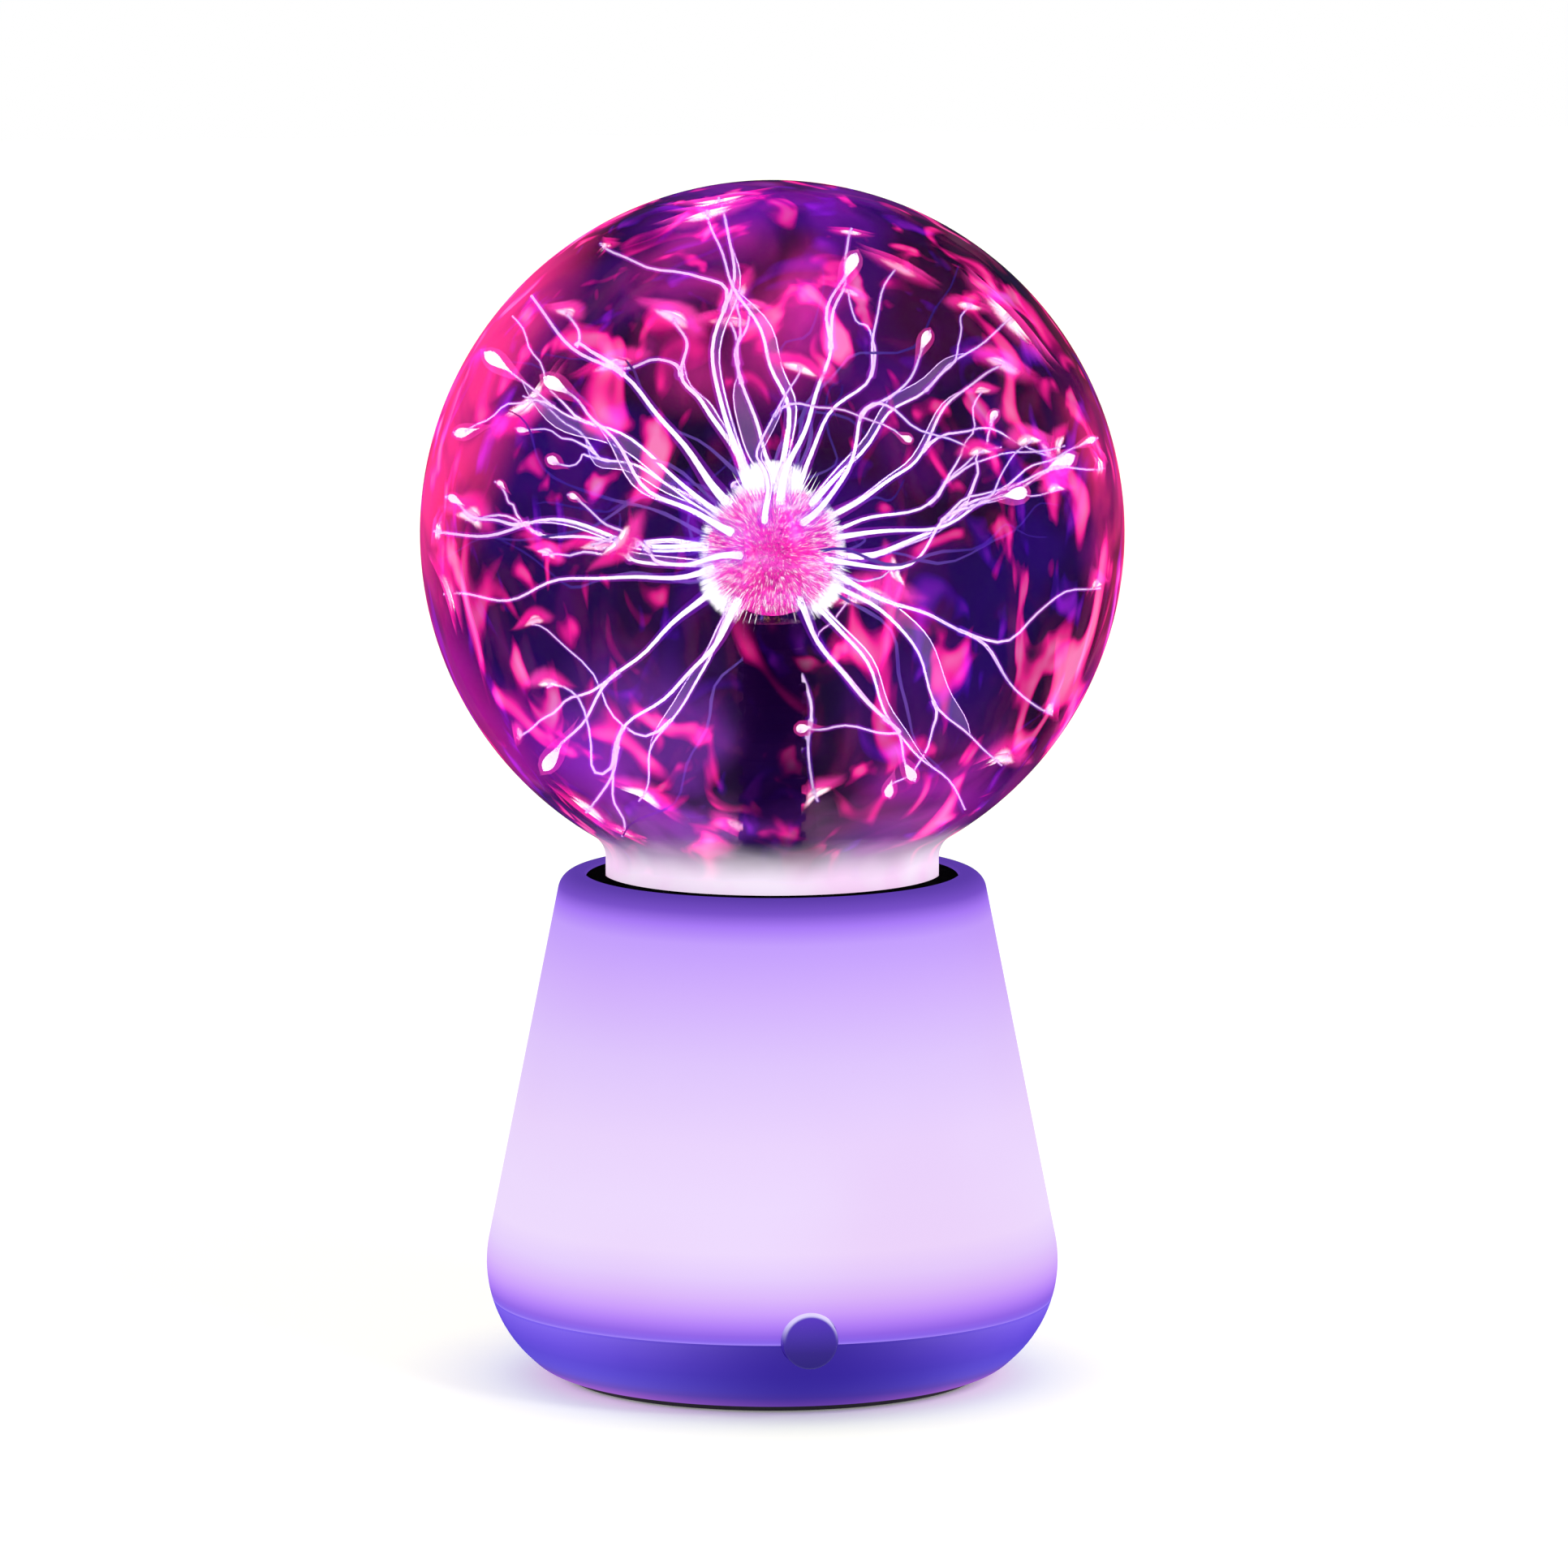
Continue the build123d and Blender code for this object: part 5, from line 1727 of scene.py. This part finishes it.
# ================================================================ base
@dataclass
class Base:
    """Cone, pan, ring, gasket and button. Sizes are in metres, and a Point is a radius and a height."""

    wall: float = 2.2 * MM
    rim_width: float = 3.9 * MM
    rim_round: float = 3.3 * MM
    opening: float = 32.2 * MM
    skirt_wall: float = 1.8 * MM
    skirt_depth: float = 7.5 * MM
    flank: Point = (51.0 * MM, 12.1 * MM)
    sole: Point = (38.9 * MM, 0.9 * MM)
    heel_round: float = 8.5 * MM
    belly_round: float = 21.3 * MM
    seam: float = 13.4 * MM
    seam_gap: float = 0.22 * MM
    button_height: float = 14.4 * MM
    button_radius: float = 4.7 * MM
    button_hole: float = 4.9 * MM
    floor_recess: float = 1.3 * MM
    lip: Point = (1.3 * MM, 2.6 * MM)
    lip_gap: float = 0.1 * MM
    ring_width: float = 4.6 * MM
    ring_gap: float = 0.15 * MM
    gasket_bore: float = 28.8 * MM
    inlet: Corner = (0.0, 43.1 * MM, 8.4 * MM)
    inlet_pad: Corner = (15.0 * MM, 3.6 * MM, 10.7 * MM)
    inlet_pocket: Point = (12.2 * MM, 6.4 * MM)
    inlet_slot: Point = (9.2 * MM, 3.4 * MM)
    vent: Point = (16.0 * MM, 1.8 * MM)
    vent_pitch: float = 5.0 * MM
    segments: int = 192
    # The lamp's glow through the cone, with a painted highlight line along the seam at its foot and painted
    # shade on the rolled rim at its top.
    cone_glow_and_painted_edges: Stops = (
        (0.0, "a488ff"),
        (0.006, "8a68ee"),
        (0.02, "9468ec"),
        (0.045, "b483fb"),
        (0.075, "cda1ff"),
        (0.11, "dcbafe"),
        (0.155, "e6cfff"),
        (0.21, "eedbff"),
        (0.31, "eddaff"),
        (0.45, "ead4fe"),
        (0.63, "dfc6fe"),
        (0.78, "d2b1fe"),
        (0.9, "c39efe"),
        (0.94, "a87af8"),
        (0.97, "7a52cc"),
        (1.0, "5f3fae"),
    )
    pan_glow: Stops = (
        (0.0, "b070d8"),
        (0.1, "a062d0"),
        (0.2, "7658c8"),
        (0.3, "6b58da"),
        (0.42, "6553dd"),
        (0.56, "634edb"),
        (0.72, "6c52e2"),
        (0.88, "785cea"),
        (1.0, "8266f0"),
    )
    # The button is no lamp: its glow is its deep violet with painted light, lighter towards the top and
    # darker towards the bottom.
    button_colour_and_painted_light: Stops = ((0.0, "261779"), (0.3, "301b86"), (0.6, "452ba6"), (1.0, "5a35c4"))
    tint: str = "b0a0f0"
    top: float = field(init=False)

    def __post_init__(self) -> None:
        """Takes the rim's height from the frame."""
        self.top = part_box("diffuser_shell")[1].z

    def corners(self) -> list[Corner]:
        """Corners of the base's outline from the axis at its underside to the rim's top.

        Returns:
            Radius, height and rounding of each corner.
        """
        return [
            (0.0, self.sole[1], 0.0),
            (*self.sole, self.heel_round),
            (*self.flank, self.belly_round),
            (self.opening + self.rim_width, self.top, self.rim_round),
            (self.opening, self.top, 0.6 * MM),
        ]

    def side(self, depth: float, low: float, high: float) -> list[Point]:
        """Outline of the base's side between two heights, depth in from the outside.

        Args:
            depth: how far in from the outside.
            low: height where it starts.
            high: height where it ends.

        Returns:
            Radius and height of each point.
        """
        path = rounded(inset(self.corners(), depth) if depth else self.corners(), closed=False, step=3.0)
        kept: list[Point] = []
        for a, b in zip(path, path[1:]):
            for height in (low, high):
                if min(a[1], b[1]) < height < max(a[1], b[1]):
                    t = (height - a[1]) / (b[1] - a[1])
                    kept.append((a[0] + (b[0] - a[0]) * t, height))
            if low <= b[1] <= high:
                kept.append(b)
        return kept

    def cutter(self, radius: float, front: float, back: float) -> Part:
        """Rod along Y at the button's height.

        Args:
            radius: its radius.
            front: Y of its one end.
            back: Y of its other end.

        Returns:
            The rod, without a material.
        """
        mesh = bmesh.new()
        middle = Matrix.Translation((0, (front + back) / 2, self.button_height))
        sizes = {"radius1": radius, "radius2": radius, "depth": abs(back - front)}
        turn = middle @ Matrix.Rotation(math.pi / 2, 4, "X")
        bmesh.ops.create_cone(mesh, cap_ends=True, segments=64, matrix=turn, **sizes)
        return finish_mesh("cutter", mesh, None)

    def cone(self) -> Part:
        """Milky cone with its rolled rim and inner skirt.

        Returns:
            The piece.
        """
        low = self.seam + self.seam_gap
        outer = self.side(0.0, low, self.top)
        ceiling, skirt = self.top - self.wall, self.top - self.skirt_depth
        back = self.opening + self.skirt_wall
        inner = [p for p in self.side(self.wall, low, ceiling) if p[0] > back]
        outline = outer + [(self.opening, skirt), (back, skirt), (back, ceiling)] + inner[::-1]
        finish = LitPlastic("lit milky plastic", low, self.top, self.cone_glow_and_painted_edges, "e6a8e0")
        piece = lathe("lit_cone", outline, finish.material(), self.segments)
        carve(piece, self.cutter(self.button_hole, -60 * MM, -40 * MM))
        return settle(piece, "base", "milky_plastic", "diffuser_shell")

    def pan(self) -> Part:
        """Pan with its groove for the ring.

        Returns:
            The piece.
        """
        high = self.seam - self.seam_gap
        outer = self.side(0.0, self.sole[1], high)
        sole, floor = self.sole[1], self.sole[1] + self.wall
        inner = [p for p in self.side(self.wall, floor, high)[::-1] if p[0] > 8 * MM]
        face, back, peak = outer[-1][0] - self.wall, self.lip[0], self.seam + self.lip[1]
        lip = [(face - self.lip_gap, high), (face - self.lip_gap, peak), (face - back, peak)]
        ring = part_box("foot_ring")[1].x
        groove = sole + self.floor_recess
        near, far = ring - self.ring_width - self.ring_gap, ring + self.ring_gap
        under = [(0.0, sole), (near, sole), (near, groove), (far, groove), (far, sole)]
        rest = [p for p in outer if p[0] > ring + 0.5 * MM]
        outline = under + rest + lip + inner + [(0.0, floor)]
        # Painted shade on the pan: a wide one round the button and a narrow one in the power inlet's pocket.
        shade = ((0.0, -self.flank[0], 9 * MM), 50 * MM)
        recess_shade = ((0.0, self.inlet[1] - 1.6 * MM, self.inlet[2] + 2.1 * MM), 6 * MM)
        look = {"patch": 60.0, "shade": shade, "recess_shade": recess_shade}
        finish = LitPlastic("deep pan plastic", sole, high, self.pan_glow, self.tint, **look)
        piece = lathe("deep_pan", outline, finish.material(), self.segments)
        carve(piece, self.cutter(self.button_hole, -60 * MM, -40 * MM))
        self.vents(piece)
        self.power_inlet(piece)
        return settle(piece, "base", "violet_plastic", "lower_shell")

    def vents(self, piece: Part) -> None:
        """Row of slots through the pan's floor.

        Args:
            piece: the pan, which is carved.
        """
        turn = Matrix.Rotation(math.pi / 2, 4, "Z")
        for step in range(-2, 3):
            place = (step * self.vent_pitch, 0.0, self.sole[1])
            carve(piece, bar((*self.vent, 4 * self.wall), place, turn))

    def power_inlet(self, piece: Part) -> None:
        """Thick pad inside the pan's back, with a flat pocket and the slot for the power socket.

        Args:
            piece: the pan, which is carved.
        """
        wide, deep, top = self.inlet_pad
        low, far = self.sole[1] + self.wall / 2, self.flank[0]
        mesh = bmesh.new()
        sizes = Matrix.Diagonal((wide, far - self.inlet[1] + deep, top - low, 1.0))
        middle = Matrix.Translation((0.0, (far + self.inlet[1] - deep) / 2, (top + low) / 2))
        bmesh.ops.create_cube(mesh, size=1.0, matrix=middle @ sizes)
        pad = finish_mesh("pad", mesh, None)
        half = self.side(self.wall / 2, low, self.seam - self.seam_gap)
        bulk = lathe("bulk", [(0.0, low), *half, (0.0, half[-1][1])], None, self.segments)
        carve(pad, bulk, "INTERSECT")
        carve(piece, pad, "UNION")
        turn = Matrix.Rotation(math.pi / 2, 4, "X")
        place = self.inlet
        carve(piece, bar((*self.inlet_pocket, 10 * MM), (place[0], place[1] + 5 * MM, place[2]), turn))
        carve(piece, bar((*self.inlet_slot, 4 * deep), place, turn))

    def trim(self) -> None:
        """Rubber ring under the pan and the gasket round the neck."""
        low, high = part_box("foot_ring")
        near, far, bend = high.x - self.ring_width, high.x, 0.5 * MM
        outline = rounded([(near, low.z, bend), (far, low.z, bend), (far, high.z, 0), (near, high.z, 0)])
        black = SoftRubber("black rubber", (0.012, 0.012, 0.014))
        piece = lathe("rubber_ring", outline, black.material(), self.segments)
        settle(piece, "base", "black_rubber", "foot_ring")
        low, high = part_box("neck_gasket")
        near, far, shoulder = self.gasket_bore, high.x, self.top - 0.7 * MM
        corners = [(near, low.z, 0), (far, low.z, 0), (far, shoulder, 0.3 * MM), (near, self.top, 0.2 * MM)]
        outline = rounded(corners)
        black = SoftRubber("black silicone", (0.001, 0.001, 0.0015), 0.8, 0.0)
        piece = lathe("gasket_ring", outline, black.material(), self.segments)
        settle(piece, "base", "black_rubber", "neck_gasket")

    def button(self) -> Part:
        """Domed cap with a rounded edge, its flange and stem.

        Returns:
            The piece.
        """
        low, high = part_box("button_cap")
        face, back, flange = -low.y, -high.y, high.x
        radius, stem, bend, dome = self.button_radius, 2.2 * MM, 0.8 * MM, 0.25 * MM
        inner, outer = 42.5 * MM, 43.4 * MM
        outline = [(0.0, back), (stem, back), (stem, inner)]
        outline += [(flange, inner), (flange, outer), (radius, outer)]
        for step in range(9):
            a = math.pi / 2 * step / 8
            outline.append((radius - bend * (1 - math.cos(a)), face - dome - bend * (1 - math.sin(a))))
        for step in range(1, 13):
            share = 1 - step / 12
            outline.append(((radius - bend) * share, face - dome * share**2))
        low_z, high_z = self.button_height - radius, self.button_height + radius
        # Painted highlight along the cap's upper edge; the whole cap glows with painted light.
        rim = ((0.0, 0.0, self.button_height), radius)
        look = {"lit": 0.95, "body": 0.06, "patch": 60.0, "roughness": 0.3, "gloss": 0.15, "rim": rim}
        finish = LitPlastic("button plastic", low_z, high_z, self.button_colour_and_painted_light, self.tint, **look)
        piece = lathe("push_button", outline, finish.material(), 96, 40)
        turn = Matrix.Translation((0, 0, self.button_height)) @ Matrix.Rotation(math.pi / 2, 4, "X")
        piece.data.transform(turn)
        return settle(piece, "button", "button_plastic", "button_cap")

    def build(self) -> None:
        """Makes every piece of the base."""
        self.cone()
        self.pan()
        self.trim()
        self.button()


# ================================================================ works kept from the frame
@dataclass
class Works:
    """Parts sealed in the base, which keep their own solids and get finishes."""

    finishes: dict[str, Callable[[], Material]] = field(default_factory=dict)

    def __post_init__(self) -> None:
        """Chooses a finish for each of the record's slots."""
        self.finishes = {
            "silicone_white": SoftRubber("white silicone", (0.72, 0.71, 0.70)).material,
            "silicone_red": SoftRubber("red silicone", (0.35, 0.01, 0.01)).material,
            "white_plastic": MouldedPlastic("white moulding", (0.80, 0.77, 0.84), 0.38).material,
            "brass": WorkedMetal("brass rod", (0.60, 0.40, 0.12)).material,
            "board_white": SolderResist("white resist", (0.80, 0.80, 0.78)).material,
            "board_green": SolderResist("green resist", (0.01, 0.10, 0.035)).material,
            "lamp": LampLens().material,
            "steel": WorkedMetal("zinc steel", (0.52, 0.52, 0.54), 0.34).material,
            "black_plastic": MouldedPlastic("black moulding", (0.012, 0.012, 0.014), 0.45).material,
            "ferrite": MouldedPlastic("ferrite", (0.03, 0.03, 0.034), 0.6, 900.0, 0.04 * MM).material,
            "bobbin_plastic": MouldedPlastic("bobbin plastic", (0.66, 0.56, 0.36), 0.32).material,
            "copper": WoundWire("enamelled wire", (0.45, 0.12, 0.04)).material,
            "aluminium": WorkedMetal("extruded aluminium", (0.66, 0.67, 0.69), 0.36).material,
            "capacitor_sleeve": MouldedPlastic("shrunk sleeve", (0.012, 0.016, 0.09), 0.22).material,
            "socket_steel": WorkedMetal("plated socket", (0.72, 0.72, 0.74), 0.2).material,
            "lead_red": SoftRubber("red lead", (0.30, 0.01, 0.01), 0.45).material,
            "lead_black": SoftRubber("black lead", (0.012, 0.012, 0.012), 0.45).material,
            "lead_white": SoftRubber("white lead", (0.7, 0.7, 0.68), 0.45).material,
            "electrode_glass": StemGlass("tip glass", 0.0, 0.001, 0.0).material,
        }

    def dress(self) -> None:
        """Gives each remaining CAD node its finish by its slot."""
        made: dict[str, Material] = {}
        for part in frame["record"]["subparts"]:
            node, slot = frame["nodes"][part["node"]], part["material_slot"]
            if slot not in self.finishes:
                continue
            if slot not in made:
                made[slot] = self.finishes[slot]()
            node.data.materials.clear()
            node.data.materials.append(made[slot])
            log.info("%s keeps its solid, in %s", node.name, made[slot].name)


# ================================================================ studio
@dataclass
class Studio:
    """Floor, lamps, backdrop and camera."""

    aim: Vector = field(default_factory=lambda: Vector((0.0, 0.0, 102 * MM)))
    distance: float = 1.732
    azimuth: float = -7.5
    elevation: float = 7.7
    width: float = 268 * MM
    shift: Point = (0.0075, 0.0)
    sensor_mm: float = 36.0

    def camera(self) -> None:
        """Long lens, a little above the lamp and to its left."""
        a, e = math.radians(self.azimuth), math.radians(self.elevation)
        back = Vector((math.sin(a) * math.cos(e), -math.cos(a) * math.cos(e), math.sin(e)))
        data = bpy.data.cameras.new("camera")
        data.sensor_width = self.sensor_mm
        data.lens = self.sensor_mm * self.distance / self.width
        data.shift_x, data.shift_y = self.shift
        data.clip_end = 20.0
        made = bpy.data.objects.new("camera", data)
        made.location = self.aim + back * self.distance
        made.rotation_euler = back.to_track_quat("Z", "Y").to_euler()
        bpy.context.scene.collection.objects.link(made)
        bpy.context.scene.camera = made

    def lamp(self, name: str, place: Corner, size: float, power: float) -> None:
        """Square soft lamp that looks at the object.

        Args:
            name: the lamp's name.
            place: where it hangs, in metres.
            size: side of its square, in metres.
            power: its power, in watts.
        """
        data = bpy.data.lights.new(name, "AREA")
        data.shape, data.size, data.energy = "SQUARE", size, power
        made = bpy.data.objects.new(name, data)
        made.location = place
        made.rotation_euler = (Vector(place) - self.aim).to_track_quat("Z", "Y").to_euler()
        bpy.context.scene.collection.objects.link(made)

    def backdrop(self) -> None:
        """White world, which lights the object evenly from all round."""
        world = bpy.data.worlds.new("backdrop")
        world.use_nodes = True
        bpy.context.scene.world = world
        ground = world.node_tree.nodes["Background"]
        ground.inputs["Color"].default_value = (1.0, 1.0, 1.0, 1.0)
        ground.inputs["Strength"].default_value = 1.0

    def floor(self) -> None:
        """Pale floor that takes the contact shadow."""
        mesh = bmesh.new()
        bmesh.ops.create_grid(mesh, x_segments=1, y_segments=1, size=3.0)
        art = Sketch("pale floor")
        cloud = art.noise(3.0, 2.0)
        art.set(Base_Color=art.ramp(cloud, [(0.3, (0.91, 0.94, 0.79)), (0.7, (0.93, 0.96, 0.81))]))
        art.set(Roughness=0.9, Specular_IOR_Level=0.1)
        art.set(Emission_Color=(1.0, 1.0, 1.0), Emission_Strength=0.2)
        plane = finish_mesh("floor", mesh, art.material)
        plane.location.z = -0.0002

    def build(self) -> None:
        """Sets up everything that isn't the object."""
        self.camera()
        self.backdrop()
        self.floor()
        self.lamp("key", (0.8, -1.1, 1.0), 0.35, 5.0)
        self.lamp("fill", (-1.2, -1.0, 0.8), 1.0, 2.0)
        view = bpy.context.scene.view_settings
        view.view_transform = "Standard"


def main() -> None:
    """Builds the lamp's pieces in order."""
    logging.basicConfig(level=logging.INFO, format="%(name)s: %(message)s")
    Studio().build()
    globe = Globe()
    globe.envelope()
    globe.inner_glass()
    globe.insulator()
    globe.electrode()
    Streamers(globe).build()
    Base().build()
    Works().dress()


if __name__ == "__main__":
    main()
